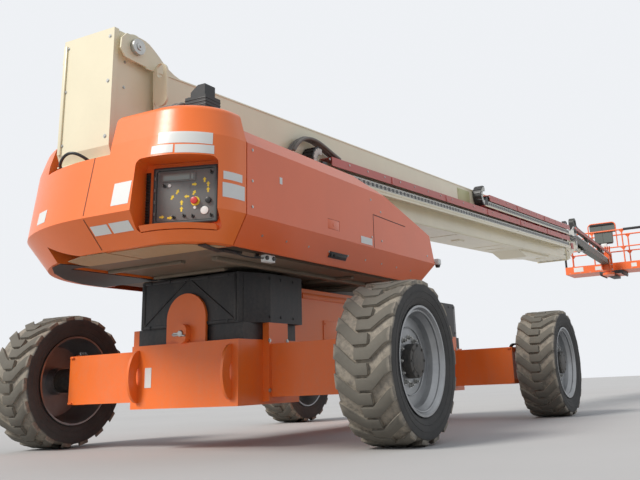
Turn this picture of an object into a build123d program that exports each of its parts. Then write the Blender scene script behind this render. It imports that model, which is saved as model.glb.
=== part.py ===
from build123d import *
import os
from math import cos, sin, radians

# Telescopic boom lift, millimetres. X forward along the boom, Y to the left, Z up.
# The origin is on the ground below the centre of the turntable bearing.

# Running fits and plate
fit = 0.3                   # gap of a seated or sliding face
clear = 8.0                 # gap round an axle beam in its sleeve

# Wheels and axles
wheelbase = 3860.0
track = 3460.0              # wheel centres with the axles extended
tyre_diameter = 1160.0
tyre_width = 445.0
lug_height = 42.0
rim_radius = 387.0
rim_width = 400.0
rim_wall = 15.0
hub_radius = 118.0
kingpin_inset = 250.0       # kingpin inboard of the wheel's centre plane
kingpin_radius = 30.0
axle_stroke = 700.0
beam_width = 200.0
beam_height = 405.0
beam_wall = 16.0
beam_bottom = 370.0
beam_stagger = 120.0        # beam's centre before or behind the wheel's centre

# Chassis
box_half_width = 540.0
box_bottom = 317.0
box_top = 810.0
box_plate = 24.0
flange_thickness = 30.0
flange_top = 940.0
frame_wall = 20.0
tower_half_length = 1450.0
tower_half_width = 500.0
tower_bottom = 400.0
tower_top = 1270.0
shroud_top = 1330.0
shroud_half_width = 600.0

# Turntable
ring_radius = 720.0
ring_height = 62.0
deck_bottom = 1375.0
deck_plate = 40.0
deck_half_width = 940.0
deck_left_rear = 400.0      # half width behind the left hood, under the counterweight
deck_chamfer = 150.0
deck_rear = -3000.0
deck_front = 150.0
side_reach = 1200.0         # outer face of the hoods from the centre
skirt_bottom = 1360.0
crease_height = 1560.0
hood_top = 2170.0
hood_wall = 18.0
hood_hinge_y = 620.0
hinge_axis_y = 604.0        # hinge pins of the hoods
hinge_axis_z = 2156.0
hinge_radius = 14.0
hinge_pin_radius = 8.0
hood_rear = -3030.0
hood_front = 60.0
tail_rear = -3600.0
tail_top = 2230.0
left_arc = 1500.0           # wide round corner of the counterweight
cowl_corner = 480.0         # round corner of the controls' cowl
cowl_lift = 50.0            # the cowl stands this much higher than the counterweight
edge_round = 55.0           # rounded top edges of the tail
saddle_top = 1990.0         # the tail is lower behind the upright
saddle_right = -430.0
saddle_left = 300.0
panel_yaw = 20.0            # the ground controls face back and to the right
panel_x = -3300.0
panel_y = -905.0
lamp_x = -3150.0            # lamp housing on the cowl
lamp_y = -905.0

# Boom, in its own plane through the pivot pin
boom_angle = 3.05           # degrees above level as it stands
pivot_x = -3200.0
pivot_z = 2920.0
pivot_radius = 60.0
upright_half_width = 245.0
upright_plate = 25.0
section_drop = 485.0        # section centre below the pivot pin
section_gap = 12.0
section_wall = 12.0
base_width = 600.0
base_height = 730.0
base_start = 430.0
nose_step = 170.0           # each section stands this far out of the one round it
collar_lip = 16.0           # reinforcing band round each nose
collar_width = 50.0
tail_lug = 190.0            # rear edge of the tail plates, with the lug on the right one
wedge_points = [(9030, 5), (9500, -100), (10950, -10), (10990, 5)]      # along the boom, from its underside
base_end = 12100.0
head_pin = 13420.0
head_drop = 400.0
head_pin_radius = 45.0

# Lift cylinder
lift_foot_x = -2200.0
lift_foot_z = 1560.0
lift_eye = 4750.0           # along the boom from the pivot
lift_eye_drop = 990.0
lift_barrel_radius = 95.0
lift_rod_radius = 60.0
lift_retract = 110.0        # how far the rod can still go in

# Jib and platform
jib_angle = -2.5
jib_length = 3450.0
jib_pivot_x = 10620.0
jib_pivot_z = 3430.0
jib_half_width = 90.0
jib_depth = 200.0
jib_retract = 205.0
jib_side_gap = 7.0          # from the arm to the cheeks beside it
jib_cheek = 20.0
link_gap = 11.0             # from a cheek to the link outside it
link_thickness = 24.0
link_rise = 190.0
link_pin = 22.0
rotator_offset = 253.0
platform_gap = 330.0        # rotator axis to the platform's rear edge
platform_length = 910.0
platform_half_width = 1220.0
floor_drop = 179.5          # platform floor's underside below the jib's end pin
rail_height = 1100.0
rail_radius = 20.0
post_radius = 18.0
rail_inset = 26.0           # rail and post centres inside the platform's edge
toe_height = 200.0
gate_gap = 12.0             # between the gate and the posts beside it
gate_stile = 34.0           # gate's stiles inside its ends; the front one is its hinge pin

corners = [(end, side) for end in (-1, 1) for side in (1, -1)]
corner_name = {(-1, 1): "rear_left", (-1, -1): "rear_right", (1, 1): "front_left", (1, -1): "front_right"}

pivot = Vector(pivot_x, 0, pivot_z)
along = Vector(cos(radians(boom_angle)), 0, sin(radians(boom_angle)))
boom_side = Plane(origin=pivot, x_dir=along, z_dir=(0, -1, 0))
wheel_radius = tyre_diameter / 2
deck_top = deck_bottom + deck_plate
left_hood_rear = tail_rear + left_arc + 10
kingpin_y = track / 2 - kingpin_inset
os.makedirs("parts", exist_ok=True)


def save(part, name):
    part.label = name
    export_step(part, f"parts/{name}.step")


def side_solid(points, y_from, y_to, plane=Plane.XZ):
    """Outline in a side view, from one distance left of the centre plane to another."""
    with BuildPart() as solid:
        with BuildSketch(plane.offset(-y_to)):
            with BuildLine():
                Polyline(*points, close=True)
            make_face()
        extrude(amount=y_to - y_from)
    return solid.part


def box_solid(x_from, x_to, y_from, y_to, z_from, z_to):
    with BuildPart() as solid:
        with BuildSketch(Plane.XY.offset(z_from)):
            with Locations(((x_from + x_to) / 2, (y_from + y_to) / 2)):
                Rectangle(x_to - x_from, y_to - y_from)
        extrude(amount=z_to - z_from)
    return solid.part


def pin_solid(x, z, radius, y_from, y_to):
    with BuildPart() as solid:
        with BuildSketch(Plane.XZ.offset(-y_to)):
            with Locations((x, z)):
                Circle(radius)
        extrude(amount=y_to - y_from)
    return solid.part


def boom_point(distance, rise):
    """Side-view place (x, z) of a point in the boom's own frame."""
    spot = boom_side.from_local_coords(Vector(distance, rise, 0))
    return spot.X, spot.Z


# Chassis frame: two cross boxes with the axle sleeves, and the tower between them
outer_line = wheelbase / 2 + beam_stagger + beam_width / 2 + clear + box_plate
box_rear = outer_line + 76
sleeve_bottom = beam_bottom - clear
sleeve_top = beam_bottom + beam_height + clear

with BuildPart() as chassis:
    with BuildSketch(Plane.XY.offset(tower_bottom)):
        Rectangle(2 * tower_half_length, 2 * tower_half_width)
    extrude(amount=tower_top - tower_bottom)
    with BuildSketch(Plane.XY.offset(tower_bottom + frame_wall)):
        Rectangle(2 * (tower_half_length - frame_wall), 2 * (tower_half_width - frame_wall))
    extrude(amount=tower_top - tower_bottom - 2 * frame_wall, mode=Mode.SUBTRACT)
    for end in (-1, 1):
        with BuildSketch(Plane.XY.offset(box_bottom)):
            with Locations((end * (tower_half_length - frame_wall + box_rear) / 2, 0)):
                Rectangle(box_rear - tower_half_length + frame_wall, 2 * box_half_width)
        extrude(amount=box_top - box_bottom)
    # hitch plate with a round top, and the tie-down ears with their oval holes
    for end in (-1, 1):
        with BuildSketch(Plane.YZ.offset(end * (box_rear - 2 * box_plate))):
            with Locations((0, 920)):
                SlotOverall(560, 400, rotation=90)
        extrude(amount=end * box_plate)
        with BuildSketch(Plane.YZ.offset(end * (box_rear - box_plate))):
            with Locations((0, 880)):
                SlotOverall(150, 110, rotation=90)
                Circle(26, mode=Mode.SUBTRACT)
        extrude(amount=end * 60)
        for side in (-1, 1):
            with BuildSketch(Plane.XZ.offset(-side * (box_half_width - 70) + 12)):
                with Locations((end * box_rear, 570)):
                    Ellipse(115, 205)
                    Ellipse(30, 70, mode=Mode.SUBTRACT)
            extrude(amount=-24)
    for end, side in corners:
        beam_x = end * (wheelbase / 2 + side * beam_stagger)
        with BuildSketch(Plane.XZ.offset(-side * box_half_width)):
            with Locations((beam_x, (sleeve_bottom - box_plate + flange_top) / 2)):
                Rectangle(beam_width + 2 * clear + 2 * box_plate, flange_top - sleeve_bottom + box_plate)
        extrude(amount=-side * flange_thickness * 2)
        with BuildSketch(Plane.XZ.offset(-side * (box_half_width + 2 * flange_thickness))):
            with Locations((beam_x, (sleeve_bottom + sleeve_top) / 2)):
                Rectangle(beam_width + 2 * clear, sleeve_top - sleeve_bottom)
        extrude(amount=side * (2 * box_half_width + 2 * flange_thickness - box_plate), mode=Mode.SUBTRACT)
        # wear pads in the sleeve's mouth
        with BuildSketch(Plane.XZ.offset(-side * (box_half_width + 2 * flange_thickness))):
            with Locations((beam_x, (sleeve_bottom + sleeve_top) / 2)):
                Rectangle(beam_width + 2 * clear + 10, sleeve_top - sleeve_bottom + 10)
                Rectangle(beam_width + 2 * fit, beam_height + 2 * fit, mode=Mode.SUBTRACT)
        extrude(amount=side * 50)
save(chassis.part, "chassis_frame")

# Hose shrouds over the cross boxes: a flat face with slanted cheeks
shroud_points = [(0, -500), (290, -shroud_half_width), (box_rear - tower_half_length - 60, -shroud_half_width)]
with BuildPart() as shrouds:
    for end in (-1, 1):
        outline = [(end * (box_rear - 50 - x), y) for x, y in shroud_points]
        outline += [(x, -y) for x, y in reversed(outline)]
        with BuildSketch(Plane.XY.offset(flange_top + fit)):
            with BuildLine():
                Polyline(*outline, close=True)
            make_face()
        extrude(amount=shroud_top - flange_top - fit)
        with BuildSketch(Plane.XY.offset(box_top)):
            with Locations((end * (tower_half_length + box_rear - 50) / 2, 0)):
                Rectangle(box_rear - 50 - tower_half_length - 2 * frame_wall, 2 * box_half_width - 10)
        extrude(amount=flange_top - box_top + fit)
        with BuildSketch(Plane.XY.offset(box_top)):
            with Locations((end * (tower_half_length + box_rear - 50) / 2, 0)):
                Rectangle(box_rear - 90 - tower_half_length - 2 * frame_wall, 2 * box_half_width - 50)
        extrude(amount=shroud_top - box_top - frame_wall, mode=Mode.SUBTRACT)
save(shrouds.part, "hose_shrouds")

with BuildPart() as slew_ring:
    with BuildSketch(Plane.XY.offset(tower_top)):
        Circle(ring_radius * 0.68)
        Circle(ring_radius * 0.52, mode=Mode.SUBTRACT)
    extrude(amount=ring_height)
save(slew_ring.part, "slew_ring")

# Tyre of a left wheel about its own centre: carcass in flats and two rows of slanted lugs
lug_count = 18
carcass_flats = 36
lug_points = [(12, -95), (12, -10), (208, 70), (208, -30)]      # across the tread, along it
lug_base = (wheel_radius - lug_height) * cos(radians(180 / carcass_flats)) - 25
lug_face = (wheel_radius ** 2 - 95 ** 2) ** 0.5      # its corners reach the tyre's radius
carcass_rows = [(-tyre_width / 2, 485), (-200, wheel_radius - lug_height), (200, wheel_radius - lug_height),
                (tyre_width / 2, 485)]
with BuildPart() as tyre:
    for (low, low_radius), (high, high_radius) in zip(carcass_rows, carcass_rows[1:]):
        for level, radius in ((low, low_radius), (high, high_radius)):
            with BuildSketch(Plane.XZ.offset(-level)):
                RegularPolygon(radius, carcass_flats)
        loft(ruled=True)
    for face in (-1, 1):
        with BuildSketch(Plane.XZ.offset(-face * 185)):
            RegularPolygon(440, carcass_flats)
        extrude(amount=-face * tyre_width, mode=Mode.SUBTRACT)
    for row in (-1, 1):
        for step in range(lug_count):
            angle = radians(360 / lug_count * (step + row * 0.25))
            tread = Plane(origin=(0, 0, 0), x_dir=(0, 1, 0), z_dir=(sin(angle), 0, cos(angle)))
            with BuildSketch(tread.offset(lug_base)):
                with BuildLine():
                    Polyline(*[(row * y, x) for y, x in lug_points], close=True)
                make_face()
            extrude(amount=lug_face - lug_base)
    with BuildSketch(Plane.XZ.offset(-tyre_width / 2)):
        RegularPolygon(rim_radius + fit, 2 * carcass_flats, major_radius=False)
    extrude(amount=tyre_width, mode=Mode.SUBTRACT)

# One corner after another: beam with its yoke, knuckle with its hub motor, rim, tyre
arm_outer = 200.0
arm_inner = 155.0
for end, side in corners:
    name = corner_name[end, side]
    wheel_x = end * wheelbase / 2
    beam_x = wheel_x + end * side * beam_stagger
    beam_inner = axle_stroke - box_half_width + box_plate + 6
    yoke_face = kingpin_y - 150
    beam_mid = beam_bottom + beam_height / 2
    with BuildPart() as beam:
        with BuildSketch(Plane.XZ.offset(-side * beam_inner)):
            with Locations((beam_x, beam_mid)):
                Rectangle(beam_width, beam_height)
                Rectangle(beam_width - 2 * beam_wall, beam_height - 2 * beam_wall, mode=Mode.SUBTRACT)
        extrude(amount=-side * (yoke_face - beam_inner))
        with BuildSketch(Plane.XZ.offset(-side * beam_inner)):
            with Locations((beam_x, beam_mid)):
                Rectangle(beam_width + 2 * (clear - fit), beam_height + 2 * (clear - fit))
                Rectangle(beam_width - 2 * beam_wall, beam_height - 2 * beam_wall, mode=Mode.SUBTRACT)
        extrude(amount=-side * 80)
        with BuildSketch(Plane.XZ.offset(-side * yoke_face)):
            head_x = (beam_x + end * side * beam_width / 2 + wheel_x - end * side * 90) / 2
            with Locations((head_x, beam_mid)):
                Rectangle(beam_stagger + beam_width / 2 + 90, beam_height)
        extrude(amount=-side * 40)
        for level in (-arm_outer, arm_inner):
            with BuildSketch(Plane.XY.offset(wheel_radius + level)):
                with Locations((wheel_x, side * (yoke_face + 95))):
                    Rectangle(150, 110)
                with Locations((wheel_x, side * kingpin_y)):
                    Circle(75)
                    Circle(kingpin_radius + fit, mode=Mode.SUBTRACT)
            extrude(amount=arm_outer - arm_inner)
    save(beam.part, f"axle_beam_{name}")

    hub_face = track / 2 - 30
    with BuildPart() as knuckle:
        with BuildSketch(Plane.XY.offset(wheel_radius - arm_inner + fit)):
            with Locations((wheel_x, side * kingpin_y)):
                Circle(62)
        extrude(amount=2 * (arm_inner - fit))
        with BuildSketch(Plane.XY.offset(wheel_radius - arm_outer - 12)):
            with Locations((wheel_x, side * kingpin_y)):
                Circle(kingpin_radius)
        extrude(amount=2 * arm_outer + 24)
        with BuildSketch(Plane.XZ.offset(-side * kingpin_y)):
            with Locations((wheel_x, wheel_radius)):
                Circle(105)
        extrude(amount=-side * (hub_face - kingpin_y))
    save(knuckle.part, f"knuckle_{name}")

    axle_line = Axis((wheel_x, 0, wheel_radius), (0, 1, 0))
    wheel_side = Plane(origin=(wheel_x, side * track / 2, wheel_radius), x_dir=(0, 0, 1), z_dir=(1, 0, 0))
    out = 1 if wheel_side.to_local_coords(Vector(wheel_x, side * track, wheel_radius)).Y > 0 else -1
    half_rim = rim_width / 2
    with BuildPart() as rim:
        with BuildSketch(wheel_side):
            with BuildLine():
                Polyline(
                    (rim_radius, -out * half_rim), (rim_radius, out * half_rim),
                    (rim_radius - rim_wall, out * half_rim), (rim_radius - 65, out * 125),
                    (rim_radius - 75, out * 85), (hub_radius, out * 85),
                    (hub_radius - 12, out * 150), (0, out * 150),
                    (0, -out * (30 - fit)), (hub_radius, -out * (30 - fit)),
                    (hub_radius, out * 62), (rim_radius - 80, out * 62),
                    (rim_radius - rim_wall, -out * half_rim),
                    close=True)
            make_face()
        revolve(axis=axle_line)
    save(rim.part, f"rim_{name}")

    turned = tyre.part if side == 1 else mirror(tyre.part, about=Plane.XZ)
    save(Pos(wheel_x, side * track / 2, wheel_radius) * turned, f"tyre_{name}")

hinge_spots = {-1: (-2850, -1560), 1: (-1800, -1540)}

# Turntable deck on its bearing, with the walls beside the boom
with BuildPart() as turntable:
    with BuildSketch(Plane.XY.offset(tower_top + ring_height + fit)):
        Circle(ring_radius * 0.75)
        Circle(ring_radius * 0.45, mode=Mode.SUBTRACT)
    extrude(amount=deck_bottom - tower_top - ring_height - fit)
    with BuildSketch(Plane.XY.offset(deck_bottom)):
        with BuildLine():
            Polyline((deck_rear, -deck_half_width), (deck_front - deck_chamfer, -deck_half_width),
                     (deck_front, deck_chamfer - deck_half_width), (deck_front, deck_half_width - deck_chamfer),
                     (deck_front - deck_chamfer, deck_half_width), (left_hood_rear, deck_half_width),
                     (left_hood_rear, deck_left_rear), (deck_rear, deck_left_rear), close=True)
        make_face()
    extrude(amount=deck_plate)
    for side, wall_rear in ((-1, deck_rear + 10), (1, left_hood_rear + 10)):
        add(side_solid([(wall_rear, deck_top), (20, deck_top), (-60, 1800), (-1440, 2060), (wall_rear, 2060)],
                       side * 590 - 10, side * 590 + 10))
        add(side_solid([(lift_foot_x - 160, deck_top), (lift_foot_x + 160, deck_top),
                        (lift_foot_x + 70, lift_foot_z + 80), (lift_foot_x - 70, lift_foot_z + 80)],
                       side * 125 - 20, side * 125 + 20))
        # hood hinges: an ear of the wall on each side of the hood's knuckle
        for spot in hinge_spots[side]:
            for ear in (-42, 42):
                with BuildSketch(Plane.YZ.offset(spot + ear - 20)):
                    with Locations((side * hinge_axis_y, hinge_axis_z)):
                        Circle(hinge_radius)
                    with Locations((side * 590, (2000 + hinge_axis_z) / 2)):
                        Rectangle(20, hinge_axis_z - 2000)
                extrude(amount=40)
            with BuildSketch(Plane.YZ.offset(spot - 62)):
                with Locations((side * hinge_axis_y, hinge_axis_z)):
                    Circle(hinge_pin_radius)
            extrude(amount=124)
    add(pin_solid(lift_foot_x, lift_foot_z, 45, -180, 180))
save(turntable.part, "turntable_deck")

# Upright: two plates on the deck that hold the boom's pivot pin, closed behind
upright_rear = -3330.0
upright_front = -2950.0
upright_top = 3030.0
cover_depth = 45.0
cover_bottom = 2030.0
with BuildPart() as upright:
    for side in (-1, 1):
        add(side_solid([(upright_rear, deck_top + 150), (-2980, deck_top), (-2300, deck_top),
                        (upright_front, 2300), (upright_front, 2960), (-3080, upright_top),
                        (upright_rear, upright_top)],
                       side * (upright_half_width - upright_plate / 2) - upright_plate / 2,
                       side * (upright_half_width - upright_plate / 2) + upright_plate / 2))
    add(box_solid(upright_rear, upright_rear + upright_plate, -upright_half_width, upright_half_width,
                  deck_top + 150, upright_top))
    add(pin_solid(pivot_x, pivot_z, pivot_radius, -330, 330))
    # rear cover, folded in at the bottom
    add(side_solid([(upright_rear, cover_bottom), (upright_rear - 5, cover_bottom),
                    (upright_rear - cover_depth, cover_bottom + 100), (upright_rear - cover_depth, upright_top + 5),
                    (upright_rear, upright_top + 5)], -upright_half_width - 10, upright_half_width + 10))
save(upright.part, "boom_upright")

# Tail: the cast counterweight with its wide round corner, and the cowl of the ground controls
lobe_inner = 330.0          # inner face of the counterweight's left lobe
tail_split = side_reach - left_arc     # the wide corner ends here, the controls' cowl begins
tail_inner = hood_rear - 10
tail_rows = [
    # height, how far the rear and the side stand in
    (skirt_bottom, 190, 110),
    (crease_height, 0, 0),
    (2060, 90, 0),
    (tail_top, 140, 60),
]


def saddle():
    """Room behind the upright, above the lower middle of the tail."""
    add(box_solid(tail_rear - 50, tail_inner + 50, saddle_right, saddle_left, saddle_top, 3000),
        mode=Mode.SUBTRACT)


def top_edges(height):
    return edges().filter_by_position(Axis.Z, height - 0.01, height + 0.01)


with BuildPart() as tail:
    for (low, *low_insets), (high, *high_insets) in zip(tail_rows, tail_rows[1:]):
        for level, (rear_inset, side_inset) in ((low, low_insets), (high, high_insets)):
            reach = side_reach - side_inset
            rear = tail_rear + rear_inset
            front = left_hood_rear - 10
            with BuildSketch(Plane.XY.offset(level)):
                with BuildLine():
                    EllipticalCenterArc((front, tail_split), front - rear, reach - tail_split,
                                        start_angle=90, arc_size=90)
                    Polyline((rear, tail_split), (tail_inner, tail_split), (tail_inner, lobe_inner),
                             (front, lobe_inner), (front, reach))
                make_face()
        loft()
    saddle()
    fillet(top_edges(tail_top).sort_by(SortBy.LENGTH)[-1], edge_round)
    add(box_solid(upright_rear - cover_depth - 15, 0, -upright_half_width - 30, upright_half_width + 30,
                  deck_bottom - 20, 3000), mode=Mode.SUBTRACT)
    add(box_solid(deck_rear - 5, left_hood_rear + 10, -deck_half_width, deck_left_rear + 5, 0, deck_top),
        mode=Mode.SUBTRACT)
save(tail.part, "tail_counterweight")

cowl_split = tail_split - fit
panel_turn = radians(panel_yaw)
panel_plane = Plane(origin=(panel_x, panel_y, 1675), x_dir=(sin(panel_turn), -cos(panel_turn), 0),
                    z_dir=(-cos(panel_turn), -sin(panel_turn), 0))
with BuildPart() as cowl:
    for (low, *low_insets), (high, *high_insets) in zip(tail_rows, tail_rows[1:]):
        for level, (rear_inset, side_inset) in ((low, low_insets), (high, high_insets)):
            reach = side_reach - side_inset
            rear = tail_rear + rear_inset
            corner = cowl_corner - 0.85 * rear_inset
            with BuildSketch(Plane.XY.offset(level + (cowl_lift if level == tail_top else 0))):
                with BuildLine():
                    EllipticalCenterArc((rear + corner, corner - reach), corner, corner,
                                        start_angle=180, arc_size=90)
                    Polyline((rear + corner, -reach), (tail_inner, -reach), (tail_inner, cowl_split),
                             (rear, cowl_split), (rear, corner - reach))
                make_face()
        loft()
    saddle()
    fillet([edge for edge in top_edges(tail_top + cowl_lift) if edge.center().X < tail_inner - 1], edge_round)
    # recess for the ground controls
    with BuildSketch(panel_plane.offset(-20)):
        with Locations((-22, -5)):
            RectangleRounded(535, 480, 45)
    extrude(amount=500, mode=Mode.SUBTRACT)
save(cowl.part, "control_cowl")

with BuildPart() as controls:
    with BuildSketch(panel_plane.offset(-20 + fit)):
        with Locations((0, 8)):
            RectangleRounded(436, 385, 30)
    extrude(amount=20)
    with BuildSketch(panel_plane.offset(-20 + fit)):
        with Locations((0, 8)):
            RectangleRounded(436, 385, 30)
            RectangleRounded(400, 349, 20, mode=Mode.SUBTRACT)
    extrude(amount=34)
save(controls.part, "ground_controls")


def hood_block(rear, inset, side):
    """One hood, solid: side outline from the inner edge to the outer face, with slanted outer faces."""
    top = hood_top - inset
    front = hood_front - inset
    outline = [(rear + inset, skirt_bottom), (-110 - inset, skirt_bottom), (front, crease_height - 10),
               (front - 100, 1830 - inset * 0.5), (-1440, top), (rear + inset, top)]
    reach = side_reach - inset
    inner = hood_hinge_y
    with BuildPart() as block:
        add(side_solid(outline, *sorted((side * inner, side * reach))))
        with BuildSketch(Plane.YZ.offset(rear + inset)):
            with BuildLine():
                Polyline((side * inner, skirt_bottom), (side * (reach - 110), skirt_bottom),
                         (side * reach, crease_height), (side * reach, hood_top - 110 - inset),
                         (side * (reach - 70), top), (side * inner, top), close=True)
            make_face()
        extrude(amount=front - rear - inset, mode=Mode.INTERSECT)
    return block.part


for side, rear, name in ((-1, hood_rear, "right_hood"), (1, left_hood_rear, "left_hood")):
    with BuildPart() as hood:
        add(hood_block(rear, 0, side))
        add(hood_block(rear, hood_wall, side), mode=Mode.SUBTRACT)
        add(box_solid(deck_rear - 100, deck_front + 5, *sorted((0, side * (deck_half_width + 10))), 0,
                      deck_top + 6), mode=Mode.SUBTRACT)
        # pocket of the latch handle
        add(box_solid(-1990, -1810, *sorted((side * (side_reach - 8), side * side_reach * 1.1)), 1620, 1700),
            mode=Mode.SUBTRACT)
        for spot in hinge_spots[side]:
            with BuildSketch(Plane.YZ.offset(spot - 20)):
                with Locations((side * hinge_axis_y, hinge_axis_z)):
                    Circle(hinge_radius)
                with Locations((side * (hinge_axis_y + 14), hood_top - 9)):
                    Rectangle(28, 14)
                with Locations((side * hinge_axis_y, hinge_axis_z)):
                    Circle(hinge_pin_radius + fit, mode=Mode.SUBTRACT)
            extrude(amount=40)
    save(hood.part, name)

with BuildPart() as engine:
    add(box_solid(-1800, -600, 650, 1000, deck_top, 1880))
save(engine.part, "engine_block")

# Lamp housing: base and a head with a slanted corner
lamp_base = (160, 180, 120)     # length, width, height
lamp_head = (110, 125, 90)
with BuildPart() as beacon:
    lamp_foot = tail_top + cowl_lift
    with BuildSketch(Plane.XY.offset(lamp_foot)):
        with Locations((lamp_x, lamp_y)):
            Rectangle(*lamp_base[:2])
    extrude(amount=lamp_base[2])
    with BuildSketch(Plane.YZ.offset(lamp_x - lamp_head[0] / 2)):
        with BuildLine():
            head_low = lamp_foot + lamp_base[2]
            half = lamp_head[1] / 2
            Polyline((lamp_y - half, head_low), (lamp_y - half, head_low + lamp_head[2]),
                     (lamp_y, head_low + lamp_head[2]), (lamp_y + half, head_low + lamp_head[2] / 2),
                     (lamp_y + half, head_low), close=True)
        make_face()
    extrude(amount=lamp_head[0])
save(beacon.part, "beacon")

# Boom sections, each a box tube with a collar of wear pads at its nose and pads round its heel
sections = []
width = base_width
height = base_height
for number, name in enumerate(("base_boom", "outer_mid_boom", "inner_mid_boom", "fly_boom")):
    sections.append((name, width, height, base_start + 60 * number, base_end + nose_step * number))
    width -= 2 * (section_wall + section_gap)
    height -= 2 * (section_wall + section_gap)


# Cable carriers on the right of the base boom: each lies on a ledge, below a guard
tray_rows = [
    # start and end along the boom, top of the ledge, bottom and top of the guard, radius of the end loop
    (2300, 11900, -610, -500, -410, 130),
    (7000, 12000, -360, -270, -175, 147),
]
tray_face = base_width / 2 + 150       # outer face of the guards, from the centre plane
carrier_thickness = 80.0
link_pitch = 100.0
link_groove = 14.0


def section_plane(distance):
    spot = boom_side.from_local_coords(Vector(distance, -section_drop, 0))
    return Plane(origin=spot, x_dir=(0, 1, 0), z_dir=along)


def boom_tube(width, height, start, finish, is_base, is_fly):
    with BuildPart() as tube:
        with BuildSketch(section_plane(start)):
            Rectangle(width, height)
            Rectangle(width - 2 * section_wall, height - 2 * section_wall, mode=Mode.SUBTRACT)
        extrude(amount=finish - start)
        with BuildSketch(section_plane(finish - collar_width)):
            Rectangle(width + 2 * collar_lip, height + 2 * collar_lip)
            Rectangle(width - 2 * section_wall, height - 2 * section_wall, mode=Mode.SUBTRACT)
        extrude(amount=collar_width - 5)
        if not is_fly:
            inner_width = width - 2 * (section_wall + section_gap)
            inner_height = height - 2 * (section_wall + section_gap)
            with BuildSketch(section_plane(finish - 120)):
                Rectangle(width, height)
                Rectangle(inner_width + 2 * fit, inner_height + 2 * fit, mode=Mode.SUBTRACT)
            extrude(amount=120)
        if not is_base:
            with BuildSketch(section_plane(start)):
                Rectangle(width + 2 * (section_gap - fit), height + 2 * (section_gap - fit))
                Rectangle(width - 2 * section_wall, height - 2 * section_wall, mode=Mode.SUBTRACT)
            extrude(amount=150)
    return tube.part


for number, (name, width, height, start, finish) in enumerate(sections):
    with BuildPart() as section:
        add(boom_tube(width, height, start, finish, number == 0, number == 3))
        if name == "base_boom":
            for side in (-1, 1):
                middle = side * (base_width - section_wall) / 2
                add(side_solid([(-150, -40), (-140, 40), (-92, 89), (40, 92), (100, 85), (145, 68),
                                (200, 35), (254, -4), (300, -42), (354, -74), (415, -102),
                                (480, -section_drop + height / 2),
                                (1300, -section_drop + height / 2), (1300, -section_drop - height / 2 + 160),
                                (base_start, -section_drop - height / 2), (tail_lug, -440), (tail_lug, -130),
                                (-100, -100)],
                               middle - section_wall / 2, middle + section_wall / 2, boom_side))
                boss_x, boss_z = boom_point(0, 0)
                add(pin_solid(boss_x, boss_z, 105, *sorted((side * (upright_half_width + fit), side * 290))))
                foot = side * 85
                bottom = -section_drop - height / 2
                add(side_solid([(lift_eye - 230, bottom), (lift_eye - 80, lift_eye_drop * -1 - 70),
                                (lift_eye + 90, lift_eye_drop * -1 - 70), (lift_eye + 380, bottom)],
                               foot - 15, foot + 15, boom_side))
                # wedge under the nose
                wedge = [(distance, bottom + drop) for distance, drop in wedge_points]
                add(side_solid(wedge, side * 240 - 8, side * 240 + 8, boom_side))
            inner_line = [(wedge_points[3][0] - 60, bottom + 3), (wedge_points[1][0] + 5, wedge[1][1] + 14),
                          (wedge_points[0][0] + 80, bottom + 5)]
            add(side_solid(wedge + inner_line, -240, 240, boom_side))
            # lug with an oblong hole
            with BuildSketch(section_plane(tail_lug)):
                with Locations((-base_width / 2 - 60, section_drop - 250)):
                    SlotOverall(340, 130, rotation=90)
                with Locations((-base_width / 2 - 60, section_drop - 140)):
                    SlotOverall(110, 58, rotation=90, mode=Mode.SUBTRACT)
            extrude(amount=20)
            # cream ledge that carries the lower cable carrier
            ledge_start, ledge_end, ledge = tray_rows[0][:3]
            for low, high, inner in ((ledge - 10, ledge, base_width / 2 - 5), (ledge - 45, ledge + 8, tray_face - 8)):
                add(side_solid([(ledge_start, low), (ledge_end, low), (ledge_end, high), (ledge_start, high)],
                               -tray_face, -inner, boom_side))
            bore_x, bore_z = boom_point(0, 0)
            add(pin_solid(bore_x, bore_z, pivot_radius + fit, -400, 400), mode=Mode.SUBTRACT)
        if name == "fly_boom":
            for side in (-1, 1):
                cheek = side * 190
                top = -section_drop + height / 2
                bottom = -section_drop - height / 2
                add(side_solid([(finish - 200, top), (finish, top), (head_pin + 90, -head_drop + 90),
                                (head_pin + 90, -head_drop - 90), (finish, bottom), (finish - 200, bottom)],
                               cheek - 12, cheek + 12, boom_side))
            head_x, head_z = boom_point(head_pin, -head_drop)
            add(pin_solid(head_x, head_z, head_pin_radius + fit, -300, 300), mode=Mode.SUBTRACT)
    save(section.part, name)

with BuildPart() as trays:
    for number, (start, finish, ledge, guard_low, guard_top, loop) in enumerate(tray_rows):
        guard = [(start + 250, guard_low), (finish, guard_low), (finish, guard_top), (start + 250, guard_top)]
        add(side_solid(guard, -tray_face, 8 - tray_face, boom_side))
        add(side_solid([(x, max(z, guard_top - 8)) for x, z in guard], -tray_face, -base_width / 2, boom_side))
        if number == 1:
            add(side_solid([(start, ledge - 10), (finish, ledge - 10), (finish, ledge), (start, ledge)],
                           -tray_face, -base_width / 2, boom_side))
save(trays.part, "cable_trays")

with BuildPart() as carriers:
    for start, finish, ledge, guard_low, guard_top, loop in tray_rows:
        low = ledge + fit
        high = low + carrier_thickness
        comb = [(start + 40, low), (finish - 60, low), (finish - 60, high)]
        spot = finish - 60 - link_pitch
        while spot > start + 150:
            comb += [(spot + link_groove, high), (spot + link_groove / 2, high - 22), (spot, high)]
            spot -= link_pitch
        comb.append((start + 40, high))
        add(side_solid(comb, 15 - tray_face, -base_width / 2 - 10, boom_side))
        with BuildSketch(boom_side.offset(base_width / 2 + 10)):
            with Locations((start + 40, low + loop)):
                Circle(loop)
                Circle(loop - carrier_thickness, mode=Mode.SUBTRACT)
                Rectangle(2 * loop, loop, align=(Align.MIN, Align.MIN), mode=Mode.SUBTRACT)
        extrude(amount=125)
save(carriers.part, "cable_carriers")

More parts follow.
